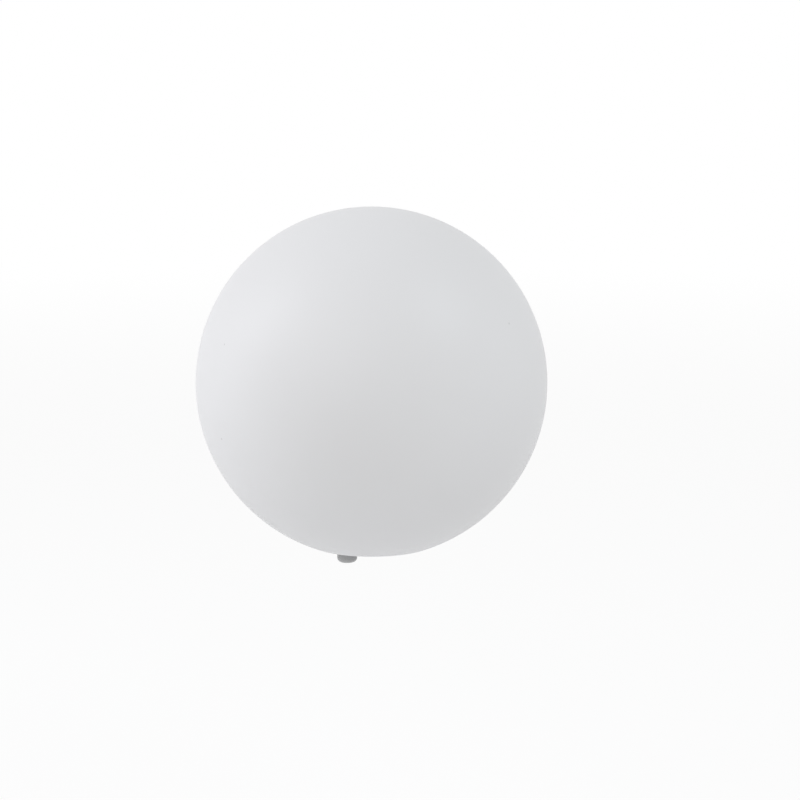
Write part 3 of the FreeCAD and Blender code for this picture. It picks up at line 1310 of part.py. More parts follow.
def make_terminal_block():
    """Two-pole terminal block, its brass sleeves and screws, and the screw that holds it."""
    near = S["block_right"]
    middle = near + S["block_width"] / 2
    half_pitch = POLE_HALF_PITCH
    bore_height = PLATE_TOP + S["pole_lift"]
    top = PLATE_TOP + S["block_height"]
    housing = [box("block_foot_plate", S["block_width"], S["block_length"], S["block_foot"],
                   near, -S["block_length"] / 2, PLATE_TOP)]
    pole_width = S["block_length"] / 2 - S["block_slot"] / 2
    cuts = [cylinder("block_screw_way", S["screw_diameter"] / 2 + 2 * S["fit_gap"], S["block_foot"],
                     middle, 0, PLATE_TOP)]
    sleeves = []
    screws = []
    for side, name in ((1, "back"), (-1, "front")):
        y = side * half_pitch
        edge = S["block_slot"] / 2 if side > 0 else -S["block_length"] / 2
        housing.append(box(f"pole_{name}_body", S["block_width"], pole_width, S["block_height"],
                           near, edge, PLATE_TOP))
        cuts.append(cylinder(f"pole_{name}_bore", S["pole_bore"] / 2, S["block_width"],
                             near, y, bore_height, Vector(0, 1, 0), 90))
        sleeve = cylinder(f"pole_{name}_sleeve", S["sleeve_diameter"] / 2, S["pole_sleeve_length"],
                          middle - S["pole_sleeve_length"] / 2, y, bore_height, Vector(0, 1, 0), 90)
        holes = [cylinder(f"pole_{name}_wire_hole", S["sleeve_hole"] / 2, S["pole_sleeve_length"],
                          middle - S["pole_sleeve_length"] / 2, y, bore_height, Vector(0, 1, 0), 90)]
        for end, end_name in ((1, "far"), (-1, "near")):
            x = middle + end * S["pole_screw_spacing"] / 2
            tower_name = f"pole_{name}_{end_name}"
            housing.append(cylinder(f"{tower_name}_tower", S["pole_screw"], S["block_tower"] + 1,
                                    x, y, top - 1))
            cuts.append(cylinder(f"{tower_name}_shaft", S["pole_screw"] / 2 + 4 * S["fit_gap"],
                                 top + S["block_tower"] - bore_height, x, y, bore_height))
            foot = bore_height + S["wire_core"] / 2 + S["fit_gap"]
            holes.append(cylinder(f"{tower_name}_tap", S["pole_screw"] / 2 + S["fit_gap"],
                                  S["sleeve_diameter"] / 2, x, y, bore_height))
            rod = cylinder(f"{tower_name}_rod", S["pole_screw"] / 2, S["pole_screw_length"], x, y, foot)
            slot = box(f"{tower_name}_slot", S["pole_screw"] * 2, S["pole_screw_slot"], S["pole_screw_slot"],
                       x - S["pole_screw"], y - S["pole_screw_slot"] / 2,
                       foot + S["pole_screw_length"] - S["pole_screw_slot"])
            screws.append(cut(f"{tower_name}_screw", rod, slot))
        sleeves.append(cut(f"pole_{name}_brass", sleeve, fuse(f"pole_{name}_holes", holes)))
    node(cut("terminal_block_cut", fuse("terminal_block_solid", housing), fuse("terminal_block_cuts", cuts)),
         "terminal_block")
    node(group("pole_sleeve_pair", sleeves), "terminal_sleeves")
    node(group("pole_screw_set", screws), "terminal_screws")
    node(pan_screw("block_screw_cut", middle, as_size(0), PLATE_TOP + S["block_foot"],
                   S["block_screw_bite"] + S["block_foot"]), "terminal_block_screw")


def bent_route(points, bend):
    """A wire through points, straight between them, with its corners rounded to one radius."""
    edges = []
    start = points[0]
    for before, corner, after in zip(points, points[1:], points[2:]):
        into = (before - corner).normalize()
        out = (after - corner).normalize()
        half = into.getAngle(out) / 2
        shortest = min((before - corner).Length, (after - corner).Length) * 0.45
        setback = min(bend / math.tan(half), shortest)
        radius = setback * math.tan(half)
        first = corner + into * setback
        last = corner + out * setback
        centre_way = (into + out).normalize()
        middle = corner + centre_way * (radius / math.sin(half) - radius)
        edges.append(Part.LineSegment(start, first).toShape())
        edges.append(Part.Arc(first, middle, last).toShape())
        start = last
    edges.append(Part.LineSegment(start, points[-1]).toShape())
    return Part.Wire(edges)


def tube_along(points, radius, bend):
    """A round solid along a bent route."""
    route = bent_route(points, bend)
    start = points[0]
    direction = (points[1] - points[0]).normalize()
    circle = Part.Wire([Part.makeCircle(radius, start, direction)])
    return route.makePipeShell([circle], True, False)


def make_wires():
    """The live and the neutral wire, from the terminal block up the post to the lampholder."""
    middle = (S["block_right"] + S["block_width"] / 2).value
    half_sleeve = (S["pole_sleeve_length"] / 2).value
    bore_height = (PLATE_TOP + S["pole_lift"]).value
    bare = S["wire_bare"].value
    spread = S["wire_spread"].value
    clamp = S["clamp_reach"].value
    bare_start = CORE_FOOT.value
    fan_low = (POST_TOP + S["nipple_above"] + S["wire_bend"] * 0.75).value
    fan_high = fan_low + S["wire_fan_height"].value
    ends = []
    sill = (PLATE_TOP + S["post_window_lift"] + S["post_window_height"] * 0.4).value
    post = (S["post_diameter"] / 2).value
    near = S["block_right"].value
    for side, name in ((1, "live_wire"), (-1, "neutral_wire")):
        y = side * POLE_HALF_PITCH.value
        entry = middle - half_sleeve
        points = [
            Vector(entry, y, bore_height),
            Vector(near - 3, y, bore_height),
            Vector(near - 5, (y + side * spread) / 2, (bore_height + sill) / 2),
            Vector(post, side * spread * 1.4, sill),
            Vector(0, side * spread, sill + 6),
            Vector(0, side * spread, fan_low),
            Vector(0, side * clamp, fan_high),
            Vector(0, side * clamp, bare_start),
        ]
        wire = tube_along(points, S["wire_diameter"].value / 2, S["wire_bend"].value)
        node(feature_of(f"{name}_tube", wire), name)
        core = S["wire_core"].value / 2
        ends.append(Part.makeCylinder(core, bare, Vector(entry, y, bore_height), Vector(1, 0, 0)))
        ends.append(Part.makeCylinder(core, bare, Vector(0, side * clamp, bare_start)))
    node(feature_of("bare_wire_ends", Part.makeCompound(ends)), "wire_ends")


def build():
    """Makes every sub-part, checks them and writes one file each."""
    make_globe()
    make_collar()
    make_base_plate()
    make_base_gasket()
    make_spike_socket()
    make_gland()
    make_breather()
    make_post()
    make_nipple()
    make_holder_dome()
    make_holder_skirt()
    make_holder_core()
    make_holder_contacts()
    make_bulb()
    make_terminal_block()
    make_wires()
    DOC.recompute()
    for thing in DOC.Objects:
        if "Invalid" in thing.State or "Error" in thing.State:
            raise RuntimeError(f"{thing.Name} ({thing.Label}) is {thing.State}")
    os.makedirs("parts", exist_ok=True)
    for thing in NODES:
        shape = thing.Shape
        if shape.isNull() or not shape.isValid() or shape.Volume <= 0:
            raise RuntimeError(f"{thing.Label} has no valid solid")
        shape.exportStep(os.path.join("parts", f"{thing.Label}.step"))
        print(f"{thing.Label}: {len(shape.Solids)} solids, {shape.Volume / 1000:.3f} cm3")


build()
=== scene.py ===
"""Garden globe light: an opal ball on a twist-lock base, dressed for the studio.

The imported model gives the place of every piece.  The ball, the gland's dome nut, the
contact spring and the ring of LED packages are built here in finer form, and every other
piece keeps its solid and gets its finish.  Lengths are metres, +Z is up and -Y is towards
the viewer.
"""

import logging
import math
from collections.abc import Callable, Iterable, Sequence
from dataclasses import dataclass, field
from enum import Enum

import bpy
from mathutils import Matrix, Vector


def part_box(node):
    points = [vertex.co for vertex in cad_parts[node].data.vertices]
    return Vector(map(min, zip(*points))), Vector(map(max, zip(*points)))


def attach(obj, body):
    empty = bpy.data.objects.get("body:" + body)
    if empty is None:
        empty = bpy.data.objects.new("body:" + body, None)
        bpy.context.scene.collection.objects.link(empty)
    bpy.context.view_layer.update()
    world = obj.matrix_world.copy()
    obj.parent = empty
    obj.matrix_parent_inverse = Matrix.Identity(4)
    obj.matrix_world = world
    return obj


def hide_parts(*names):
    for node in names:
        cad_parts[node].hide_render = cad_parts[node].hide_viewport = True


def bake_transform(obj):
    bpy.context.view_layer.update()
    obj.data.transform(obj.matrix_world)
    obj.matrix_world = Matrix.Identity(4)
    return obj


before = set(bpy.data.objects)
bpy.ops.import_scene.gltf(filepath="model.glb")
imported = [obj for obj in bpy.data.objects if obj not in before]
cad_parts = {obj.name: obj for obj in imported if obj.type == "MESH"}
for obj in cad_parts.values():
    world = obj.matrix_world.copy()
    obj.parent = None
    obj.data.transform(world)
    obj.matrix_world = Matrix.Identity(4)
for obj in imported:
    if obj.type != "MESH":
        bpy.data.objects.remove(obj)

LOG = logging.getLogger("globe_light")
Colour = tuple[float, float, float]
Socket = bpy.types.NodeSocket
MM = 0.001
WHITE: Colour = (1.0, 1.0, 1.0)


def from_screen(red: float, green: float, blue: float) -> Colour:
    """Turn a colour as a screen shows it, 0 to 1, into the linear colour a shader takes.

    Args:
        red: Red as shown.
        green: Green as shown.
        blue: Blue as shown.

    Returns:
        The linear colour.
    """
    def linear(value: float) -> float:
        """Undo the sRGB curve for one channel."""
        return value / 12.92 if value <= 0.04045 else ((value + 0.055) / 1.055) ** 2.4
    return (linear(red), linear(green), linear(blue))


def grey(value: float) -> Colour:
    """A neutral grey, given as a screen shows it."""
    return from_screen(value, value, value)


# ---------------------------------------------------------------- node trees


class Tree:
    """A node tree with short calls to add nodes and wire them."""

    def __init__(self, tree: bpy.types.NodeTree) -> None:
        """Keep the tree that the calls add to.

        Args:
            tree: A shader or geometry node tree.
        """
        self.tree = tree

    def give(self, node: bpy.types.Node, name: str | int, value: object) -> None:
        """Wire an input to a socket, or set it to a constant.

        Args:
            node: The node.
            name: The input's name or number.
            value: A socket or a constant; a colour may leave out its alpha.
        """
        target = node.inputs[name]
        if isinstance(value, Socket):
            self.tree.links.new(value, target)
        elif target.type == "RGBA" and len(value) == 3:
            target.default_value = (*value, 1.0)
        else:
            target.default_value = value

    def add(self, kind: str, inputs: dict | None = None,
            **settings: object) -> bpy.types.Node:
        """Add one node.

        Args:
            kind: The node's type name.
            inputs: Its inputs by name or number; each value is a socket or a constant.
            **settings: Its own properties.

        Returns:
            The new node.
        """
        node = self.tree.nodes.new(kind)
        for name, value in settings.items():
            setattr(node, name, value)
        for name, value in (inputs or {}).items():
            self.give(node, name, value)
        return node

    def math(self, operation: str, first: Socket | float,
             second: Socket | float = 0.0) -> Socket:
        """Add a maths node and return its result."""
        inputs = {0: first, 1: second}
        return self.add("ShaderNodeMath", inputs, operation=operation).outputs[0]

    def ramp(self, value: Socket, low: float, high: float,
             out_low: float = 0.0, out_high: float = 1.0) -> Socket:
        """Map a value from one range to another, clamped and smoothed.

        Args:
            value: The value to map.
            low: Where the range starts.
            high: Where it ends.
            out_low: The result at the start.
            out_high: The result at the end.

        Returns:
            The mapped value.
        """
        node = self.add("ShaderNodeMapRange", {
            "Value": value, "From Min": low, "From Max": high,
            "To Min": out_low, "To Max": out_high}, interpolation_type="SMOOTHSTEP")
        return node.outputs["Result"]

    def blend(self, factor: Socket | float, first: Socket | tuple,
              second: Socket | tuple, mode: str = "MIX") -> Socket:
        """Mix two colours.

        Args:
            factor: Share of the second colour.
            first: The first colour.
            second: The second colour.
            mode: How they mix.

        Returns:
            The mixed colour.
        """
        node = self.add("ShaderNodeMix", {0: factor, 6: first, 7: second},
                        data_type="RGBA", blend_type=mode)
        return node.outputs[2]

    def noise(self, place: Socket, scale: Socket | float, detail: float) -> Socket:
        """Add a cloudy height in space and return it."""
        return self.add("ShaderNodeTexNoise", {
            "Vector": place, "Scale": scale, "Detail": detail}).outputs[0]

    def bump(self, height: Socket, rise: float, strength: Socket | float,
             normal: Socket | None = None) -> Socket:
        """Raise a surface by a height and return the normal.

        Args:
            height: The height, 0 to 1.
            rise: What a height of 1 is, in metres.
            strength: How much of it shows.
            normal: A normal to start from.

        Returns:
            The new normal.
        """
        inputs = {"Height": height, "Distance": rise, "Strength": strength}
        if normal is not None:
            inputs["Normal"] = normal
        return self.add("ShaderNodeBump", inputs).outputs["Normal"]

    def place(self, scale: tuple = (1.0, 1.0, 1.0),
              turn: tuple = (0.0, 0.0, 0.0)) -> Socket:
        """Object coordinates, scaled and turned.

        Args:
            scale: Scale along each axis.
            turn: Turn about each axis, in radians.

        Returns:
            The coordinates.
        """
        place = self.add("ShaderNodeTexCoord").outputs["Object"]
        return self.add("ShaderNodeMapping", {
            "Vector": place, "Scale": scale, "Rotation": turn}).outputs["Vector"]


class Pattern(Enum):
    """The surface patterns that the finishes share, each a shader node group."""

    MOULDED = "moulded skin"
    TURNED = "turning marks"
    PRESSED = "rolled sheet"
    SPECKS = "dust specks"
    WEAVE = "fine membrane"


GroupParts = tuple[Tree, bpy.types.NodeOutputs, bpy.types.Node]
COLOUR_OUT = {"Colour": "NodeSocketColor", "Roughness": "NodeSocketFloat",
              "Normal": "NodeSocketVector"}

# What each pattern's height lifts the surface by, at full strength.
RIPPLE_RISE = 4.0 * MM
GRAIN_RISE = 0.3 * MM
RING_RISE = 0.06 * MM
LINE_RISE = 0.05 * MM
THREAD_RISE = 0.1 * MM
THREAD_STRENGTH = 0.5
# How far each pattern moves the roughness, and the thread the tone.
GRAIN_GLOSS = 0.18
TARNISH_GLOSS = 0.3
LINE_GLOSS = 0.2
THREAD_TONE = 0.2
# How close the patterns are that have no input for it, to the metre.
TARNISH_SCALE = 260.0
CLOUD_SCALE = 180.0
LINE_SCALE = (90.0, 2600.0, 2600.0)
LINE_TURN = (0.0, 0.0, 0.5)
# The height that leaves tone and roughness as they are, and that of the tarnish.
MIDDLE = 0.5
TARNISH_MIDDLE = 0.4
# The smallest speck, as a share of the stated size.
LEAST_SPECK = 0.4


def open_group(pattern: Pattern, inputs: dict[str, float | Colour],
               outputs: dict[str, str]) -> GroupParts:
    """Start a shader node group with its sockets.

    Args:
        pattern: Which pattern it is.
        inputs: Its inputs and what each is unless it is set.
        outputs: Its outputs and the type of each.

    Returns:
        The tree, the sockets that its inputs come in by, and its output node.
    """
    group = bpy.data.node_groups.new(pattern.value, "ShaderNodeTree")
    for name, value in inputs.items():
        coloured = isinstance(value, tuple)
        kind = "NodeSocketColor" if coloured else "NodeSocketFloat"
        socket = group.interface.new_socket(name=name, in_out="INPUT", socket_type=kind)
        socket.default_value = (*value, 1.0) if coloured else value
    for name, kind in outputs.items():
        group.interface.new_socket(name=name, in_out="OUTPUT", socket_type=kind)
    tree = Tree(group)
    return tree, tree.add("NodeGroupInput").outputs, tree.add("NodeGroupOutput")


def close_group(tree: Tree, result: bpy.types.Node, colour: Socket, roughness: Socket,
                normal: Socket) -> None:
    """Wire what a skin pattern puts out.

    Args:
        tree: The group's tree.
        result: Its output node.
        colour: The colour.
        roughness: The roughness.
        normal: The normal.
    """
    tree.give(result, "Colour", colour)
    tree.give(result, "Roughness", roughness)
    tree.give(result, "Normal", normal)


def shade_tone(tree: Tree, colour: Socket, height: Socket, depth: Socket) -> Socket:
    """Make a colour lighter and darker with a height round its middle.

    Args:
        tree: The tree to add to.
        colour: The colour.
        height: The pattern, 0 to 1.
        depth: How much the tone moves.

    Returns:
        The toned colour.
    """
    swing = tree.math("MULTIPLY", tree.math("SUBTRACT", height, MIDDLE), depth)
    factor = tree.math("ADD", swing, 1.0)
    tone = tree.add("ShaderNodeCombineColor", {0: factor, 1: factor, 2: factor})
    return tree.blend(1.0, colour, tone.outputs[0], "MULTIPLY")


def shade_gloss(tree: Tree, roughness: Socket, height: Socket, middle: float,
                swing: float) -> Socket:
    """Make a roughness rise and fall with a height.

    Args:
        tree: The tree to add to.
        roughness: The roughness.
        height: The pattern, 0 to 1.
        middle: The height that leaves the roughness as it is.
        swing: How much it moves over the whole height.

    Returns:
        The uneven roughness.
    """
    uneven = tree.math("MULTIPLY", tree.math("SUBTRACT", height, middle), swing)
    return tree.math("ADD", roughness, uneven)


def make_moulded() -> None:
    """Skin of a moulding: broad tone drift, a slow ripple and a fine grain."""
    tree, given, result = open_group(Pattern.MOULDED, {
        "Colour": (0.5, 0.5, 0.5), "Roughness": 0.45, "Drift": 0.03, "Drift scale": 12.0,
        "Ripple scale": 20.0, "Ripple": 0.1, "Grain scale": 900.0, "Grain": 0.1},
        COLOUR_OUT)
    place = tree.place()
    drift = tree.noise(place, given["Drift scale"], 3.0)
    ripple = tree.noise(place, given["Ripple scale"], 1.0)
    grain = tree.noise(place, given["Grain scale"], 2.0)
    slow = tree.bump(ripple, RIPPLE_RISE, given["Ripple"])
    close_group(tree, result, shade_tone(tree, given["Colour"], drift, given["Drift"]),
                shade_gloss(tree, given["Roughness"], grain, MIDDLE, GRAIN_GLOSS),
                tree.bump(grain, GRAIN_RISE, given["Grain"], slow))


def make_turned() -> None:
    """Marks of a lathe: rings that follow the height, with a little tarnish."""
    tree, given, result = open_group(Pattern.TURNED, {
        "Colour": (0.6, 0.5, 0.3), "Roughness": 0.3, "Ring scale": 6000.0, "Marks": 0.2,
        "Tarnish": 0.12}, COLOUR_OUT)
    place = tree.place()
    parts = tree.add("ShaderNodeSeparateXYZ", {"Vector": place})
    height = tree.math("MULTIPLY", parts.outputs["Z"], given["Ring scale"])
    rings = tree.add("ShaderNodeTexNoise", {
        "W": height, "Scale": 1.0, "Detail": 3.0}, noise_dimensions="1D").outputs[0]
    cloud = tree.noise(place, TARNISH_SCALE, 4.0)
    close_group(tree, result, shade_tone(tree, given["Colour"], cloud, given["Tarnish"]),
                shade_gloss(tree, given["Roughness"], cloud, TARNISH_MIDDLE,
                            TARNISH_GLOSS),
                tree.bump(rings, RING_RISE, given["Marks"]))


def make_pressed() -> None:
    """Rolled sheet: long fine lines one way and faint clouding."""
    tree, given, result = open_group(Pattern.PRESSED, {
        "Colour": (0.6, 0.6, 0.6), "Roughness": 0.35, "Lines": 0.15, "Cloud": 0.08},
        COLOUR_OUT)
    lines = tree.noise(tree.place(LINE_SCALE, LINE_TURN), 1.0, 3.0)
    cloud = tree.noise(tree.place(), CLOUD_SCALE, 4.0)
    close_group(tree, result, shade_tone(tree, given["Colour"], cloud, given["Cloud"]),
                shade_gloss(tree, given["Roughness"], lines, MIDDLE, LINE_GLOSS),
                tree.bump(lines, LINE_RISE, given["Lines"]))


def make_specks() -> None:
    """A few tiny specks of dust or pigment, far apart."""
    tree, given, result = open_group(Pattern.SPECKS, {
        "Scale": 34.0, "Size": 0.03, "Share": 0.25}, {"Mask": "NodeSocketFloat"})
    cells = tree.add("ShaderNodeTexVoronoi", {
        "Vector": tree.place(), "Scale": given["Scale"], "Randomness": 1.0})
    draws = tree.add("ShaderNodeSeparateColor", {0: cells.outputs["Color"]}).outputs
    chosen = tree.math("LESS_THAN", draws[0], given["Share"])
    reach = tree.math("MULTIPLY", given["Size"], tree.math("ADD", draws[1], LEAST_SPECK))
    inside = tree.math("LESS_THAN", cells.outputs["Distance"], reach)
    tree.give(result, "Mask", tree.math("MULTIPLY", inside, chosen))


def make_weave() -> None:
    """The close weave of the breather's membrane."""
    tree, given, result = open_group(Pattern.WEAVE, {
        "Colour": (0.7, 0.7, 0.7), "Roughness": 0.8, "Thread scale": 3200.0}, COLOUR_OUT)
    parts = tree.add("ShaderNodeSeparateXYZ", {"Vector": tree.place()}).outputs
    waves = [tree.math("SINE", tree.math("MULTIPLY", parts[axis], given["Thread scale"]))
             for axis in "XY"]
    cross = tree.ramp(tree.math("MULTIPLY", waves[0], waves[1]), -1.0, 1.0)
    depth = tree.math("MULTIPLY", given["Roughness"], THREAD_TONE)
    close_group(tree, result, shade_tone(tree, given["Colour"], cross, depth),
                given["Roughness"], tree.bump(cross, THREAD_RISE, THREAD_STRENGTH))


PATTERN_MAKERS: dict[Pattern, Callable[[], None]] = {
    Pattern.MOULDED: make_moulded, Pattern.TURNED: make_turned,
    Pattern.PRESSED: make_pressed, Pattern.SPECKS: make_specks,
    Pattern.WEAVE: make_weave}


def use_pattern(tree: Tree, pattern: Pattern, inputs: dict) -> bpy.types.Node:
    """Put a pattern's group into a material, and make the group if it isn't there.

    Args:
        tree: The material's tree.
        pattern: Which pattern.
        inputs: Its inputs by name.

    Returns:
        The group node.
    """
    if pattern.value not in bpy.data.node_groups:
        PATTERN_MAKERS[pattern]()
    group = bpy.data.node_groups[pattern.value]
    return tree.add("ShaderNodeGroup", inputs, node_tree=group)


def open_material(label: str) -> tuple[bpy.types.Material, Tree]:
    """Make an empty node material.

    Args:
        label: Its name.

    Returns:
        The material and its tree.
    """
    material = bpy.data.materials.new(label)
    material.use_nodes = True
    material.node_tree.nodes.clear()
    return material, Tree(material.node_tree)


# ---------------------------------------------------------------- finishes


@dataclass(frozen=True)
class Finish:
    """A finish: its name, its colour and how it takes light."""

    name: str
    colour: Colour
    roughness: float = 0.45
    specular: float = 0.5
    metallic: float = 0.0

    def material(self) -> bpy.types.Material:
        """Make the material, or return the one that is there.

        Returns:
            The material.
        """
        label = f"{self.name} finish"
        found = bpy.data.materials.get(label)
        if found is not None:
            return found
        material, tree = open_material(label)
        shader = tree.add("ShaderNodeBsdfPrincipled", {
            "Metallic": self.metallic, "Specular IOR Level": self.specular})
        self.dress(tree, shader)
        tree.add("ShaderNodeOutputMaterial", {"Surface": shader.outputs[0]})
        material.diffuse_color = (*self.colour, 1.0)
        return material

    def pattern(self) -> tuple[Pattern, dict]:
        """Which pattern the finish takes, with the pattern's own inputs."""
        return Pattern.MOULDED, {}

    def dress(self, tree: Tree, shader: bpy.types.Node) -> None:
        """Wire the finish's pattern into the shader.

        Args:
            tree: The material's tree.
            shader: The shader.
        """
        pattern, inputs = self.pattern()
        skin = use_pattern(tree, pattern, {
            "Colour": self.colour, "Roughness": self.roughness, **inputs})
        for name, target in (("Colour", "Base Color"), ("Roughness", "Roughness"),
                             ("Normal", "Normal")):
            tree.give(shader, target, skin.outputs[name])


@dataclass(frozen=True)
class Moulded(Finish):
    """Moulded plastic or rubber, with a grain of its own."""

    drift: float = 0.04
    ripple: float = 0.05
    grain: float = 0.15

    def pattern(self) -> tuple[Pattern, dict]:
        """The moulded skin at this finish's grain."""
        return Pattern.MOULDED, {
            "Drift": self.drift, "Drift scale": 60.0, "Ripple scale": 90.0,
            "Ripple": self.ripple, "Grain scale": 1600.0, "Grain": self.grain}


@dataclass(frozen=True)
class OpalBall(Finish):
    """The ball's satin opal skin, with a slow ripple and a few specks."""

    speck_colour: Colour = grey(0.66)
    speck_strength: float = 0.4

    def dress(self, tree: Tree, shader: bpy.types.Node) -> None:
        """Wire the skin and its specks into the shader.

        Args:
            tree: The material's tree.
            shader: The shader.
        """
        skin = use_pattern(tree, Pattern.MOULDED, {
            "Colour": self.colour, "Roughness": self.roughness, "Drift": 0.016,
            "Drift scale": 7.0, "Ripple scale": 9.0, "Ripple": 0.05,
            "Grain scale": 620.0, "Grain": 0.12})
        specks = use_pattern(tree, Pattern.SPECKS, {
            "Scale": 30.0, "Size": 0.03, "Share": 0.5})
        faint = tree.math("MULTIPLY", specks.outputs["Mask"], self.speck_strength)
        colour = tree.blend(faint, skin.outputs["Colour"], self.speck_colour)
        tree.give(shader, "Base Color", colour)
        tree.give(shader, "Roughness", skin.outputs["Roughness"])
        tree.give(shader, "Normal", skin.outputs["Normal"])


@dataclass(frozen=True)
class TurnedMetal(Finish):
    """Turned or plated metal with ring marks."""

    metallic: float = 1.0
    tarnish: float = 0.14
    ring_scale: float = 6000.0

    def pattern(self) -> tuple[Pattern, dict]:
        """The turning marks."""
        return Pattern.TURNED, {"Ring scale": self.ring_scale, "Tarnish": self.tarnish}


@dataclass(frozen=True)
class SheetMetal(Finish):
    """Metal pressed from rolled sheet."""

    metallic: float = 1.0
    lines: float = 0.2

    def pattern(self) -> tuple[Pattern, dict]:
        """The rolled sheet's lines."""
        return Pattern.PRESSED, {"Lines": self.lines}


@dataclass(frozen=True)
class Membrane(Finish):
    """The breather's woven membrane."""

    def pattern(self) -> tuple[Pattern, dict]:
        """The fine weave."""
        return Pattern.WEAVE, {}


OPAL_SHELL = OpalBall("opal_shell", from_screen(0.88, 0.878, 0.879), 0.46, 0.35)
FINISHES: dict[str, Finish] = {finish.name: finish for finish in (
    Moulded("grey_base", grey(0.64), 0.5, grain=0.3),
    Moulded("black_rubber", grey(0.13), 0.75, 0.3, grain=0.25),
    TurnedMetal("brass", from_screen(0.86, 0.74, 0.46), 0.3),
    Moulded("gland_grey", grey(0.68), 0.42, grain=0.12),
    Membrane("membrane_white", grey(0.88), 0.85, 0.2),
    Moulded("post_white", grey(0.9), 0.42, grain=0.1),
    TurnedMetal("zinc_steel", from_screen(0.78, 0.79, 0.8), 0.32, tarnish=0.18),
    TurnedMetal("spring_steel", grey(0.68), 0.28),
    Moulded("holder_black", grey(0.12), 0.38, grain=0.2),
    Moulded("holder_ceramic", from_screen(0.9, 0.88, 0.84), 0.55, drift=0.08,
            grain=0.35),
    TurnedMetal("nickel_cap", from_screen(0.84, 0.83, 0.8), 0.24, tarnish=0.1),
    Moulded("black_glass", grey(0.1), 0.12, 0.6, grain=0.02),
    Moulded("bulb_white", grey(0.9), 0.3, grain=0.06),
    Moulded("bulb_opal", grey(0.93), 0.5, grain=0.1),
    SheetMetal("aluminium", from_screen(0.85, 0.86, 0.87), 0.34),
    Moulded("board_white", grey(0.92), 0.28, drift=0.03, grain=0.08),
    Moulded("led_yellow", from_screen(0.93, 0.82, 0.36), 0.35, grain=0.3),
    Moulded("board_green", from_screen(0.12, 0.42, 0.24), 0.3, drift=0.12,
            grain=0.2),
    Moulded("component_black", grey(0.16), 0.4, drift=0.1, grain=0.2),
    Moulded("block_natural", from_screen(0.88, 0.86, 0.8), 0.4, grain=0.12),
    Moulded("wire_brown", from_screen(0.36, 0.21, 0.13), 0.45, grain=0.1),
    Moulded("wire_blue", from_screen(0.13, 0.37, 0.68), 0.45, grain=0.1),
    TurnedMetal("copper", from_screen(0.84, 0.56, 0.42), 0.3, ring_scale=2500.0))}
FINISHES[OPAL_SHELL.name] = OPAL_SHELL


# ---------------------------------------------------------------- mesh tools


POLE_RADIUS = 1e-7  # A profile's corner nearer to the axis than this is a pole.


@dataclass(frozen=True)
class Spot:
    """One corner of a lathe profile: radius, height and whether the grip flats cut it."""

    radius: float
    height: float
    flatted: bool = False


def arc(centre: tuple[float, float], radius: float, start: float, end: float,
        steps: int) -> list[Spot]:
    """Points along an arc of a profile, both ends included.

    Args:
        centre: Radius and height of its centre.
        radius: Its radius.
        start: Angle where it starts, in degrees.
        end: Angle where it ends.
        steps: How many spans it has.

    Returns:
        The points.
    """
    spots = []
    for step in range(steps + 1):
        angle = math.radians(start + (end - start) * step / steps)
        reach = max(centre[0] + radius * math.cos(angle), 0.0)
        spots.append(Spot(reach, centre[1] + radius * math.sin(angle)))
    return spots


def turn_profile(name: str, profile: Sequence[Spot], segments: int,
                 axis: tuple[float, float], looped: bool, sharp: float,
                 reach: Callable[[Spot, float], float] | None = None
                 ) -> bpy.types.Object:
    """Turn a profile round an upright axis into a closed mesh.

    Args:
        name: The piece's name.
        profile: The profile's corners, from pole to pole, or in a loop.
        segments: Steps round the axis.
        axis: X and Y of the axis.
        looped: True where the last corner joins the first, False where the ends are poles.
        sharp: Edges that turn by more than this many degrees stay sharp.
        reach: Gives a corner's radius at an angle, where it isn't the same all round.

    Returns:
        The piece.
    """
    points: list[tuple[float, float, float]] = []
    rows: list[list[int]] = []
    for spot in profile:
        if spot.radius < POLE_RADIUS:
            rows.append([len(points)] * segments)
            points.append((axis[0], axis[1], spot.height))
            continue
        rows.append(list(range(len(points), len(points) + segments)))
        for step in range(segments):
            angle = 2.0 * math.pi * step / segments
            radius = reach(spot, angle) if reach else spot.radius
            points.append((axis[0] + radius * math.cos(angle),
                           axis[1] + radius * math.sin(angle), spot.height))
    faces: list[tuple[int, ...]] = []
    pairs = list(zip(rows, rows[1:])) + ([(rows[-1], rows[0])] if looped else [])
    for upper, lower in pairs:
        for step in range(segments):
            after = (step + 1) % segments
            corners = (upper[step], lower[step], lower[after], upper[after])
            faces.append(tuple(dict.fromkeys(corners)))
    return finish_mesh(name, points, faces, sharp)


def enclosed(mesh: bpy.types.Mesh) -> float:
    """The volume a closed mesh encloses, negative where its faces point inwards."""
    mesh.calc_loop_triangles()
    total = 0.0
    for triangle in mesh.loop_triangles:
        a, b, c = (mesh.vertices[corner].co for corner in triangle.vertices)
        total += a.dot(b.cross(c)) / 6.0
    return total


def smooth_outwards(mesh: bpy.types.Mesh, sharp: float) -> None:
    """Face a closed mesh outwards and smooth it but for its edges.

    Args:
        mesh: The mesh.
        sharp: Edges that turn by more than this many degrees stay sharp.
    """
    if enclosed(mesh) < 0.0:
        mesh.flip_normals()
    mesh.shade_smooth()
    mesh.set_sharp_from_angle(angle=math.radians(sharp))


def finish_mesh(name: str, points: Iterable, faces: Iterable,
                sharp: float) -> bpy.types.Object:
    """Make a piece from points and faces, facing outwards and smooth but for its edges.

    Args:
        name: The piece's name.
        points: Its corners.
        faces: Its faces.
        sharp: Edges that turn by more than this many degrees stay sharp.

    Returns:
        The piece.
    """
    mesh = bpy.data.meshes.new(name)
    mesh.from_pydata(list(points), [], list(faces))
    mesh.validate()
    smooth_outwards(mesh, sharp)
    piece = bpy.data.objects.new(name, mesh)
    bpy.context.scene.collection.objects.link(piece)
    return piece


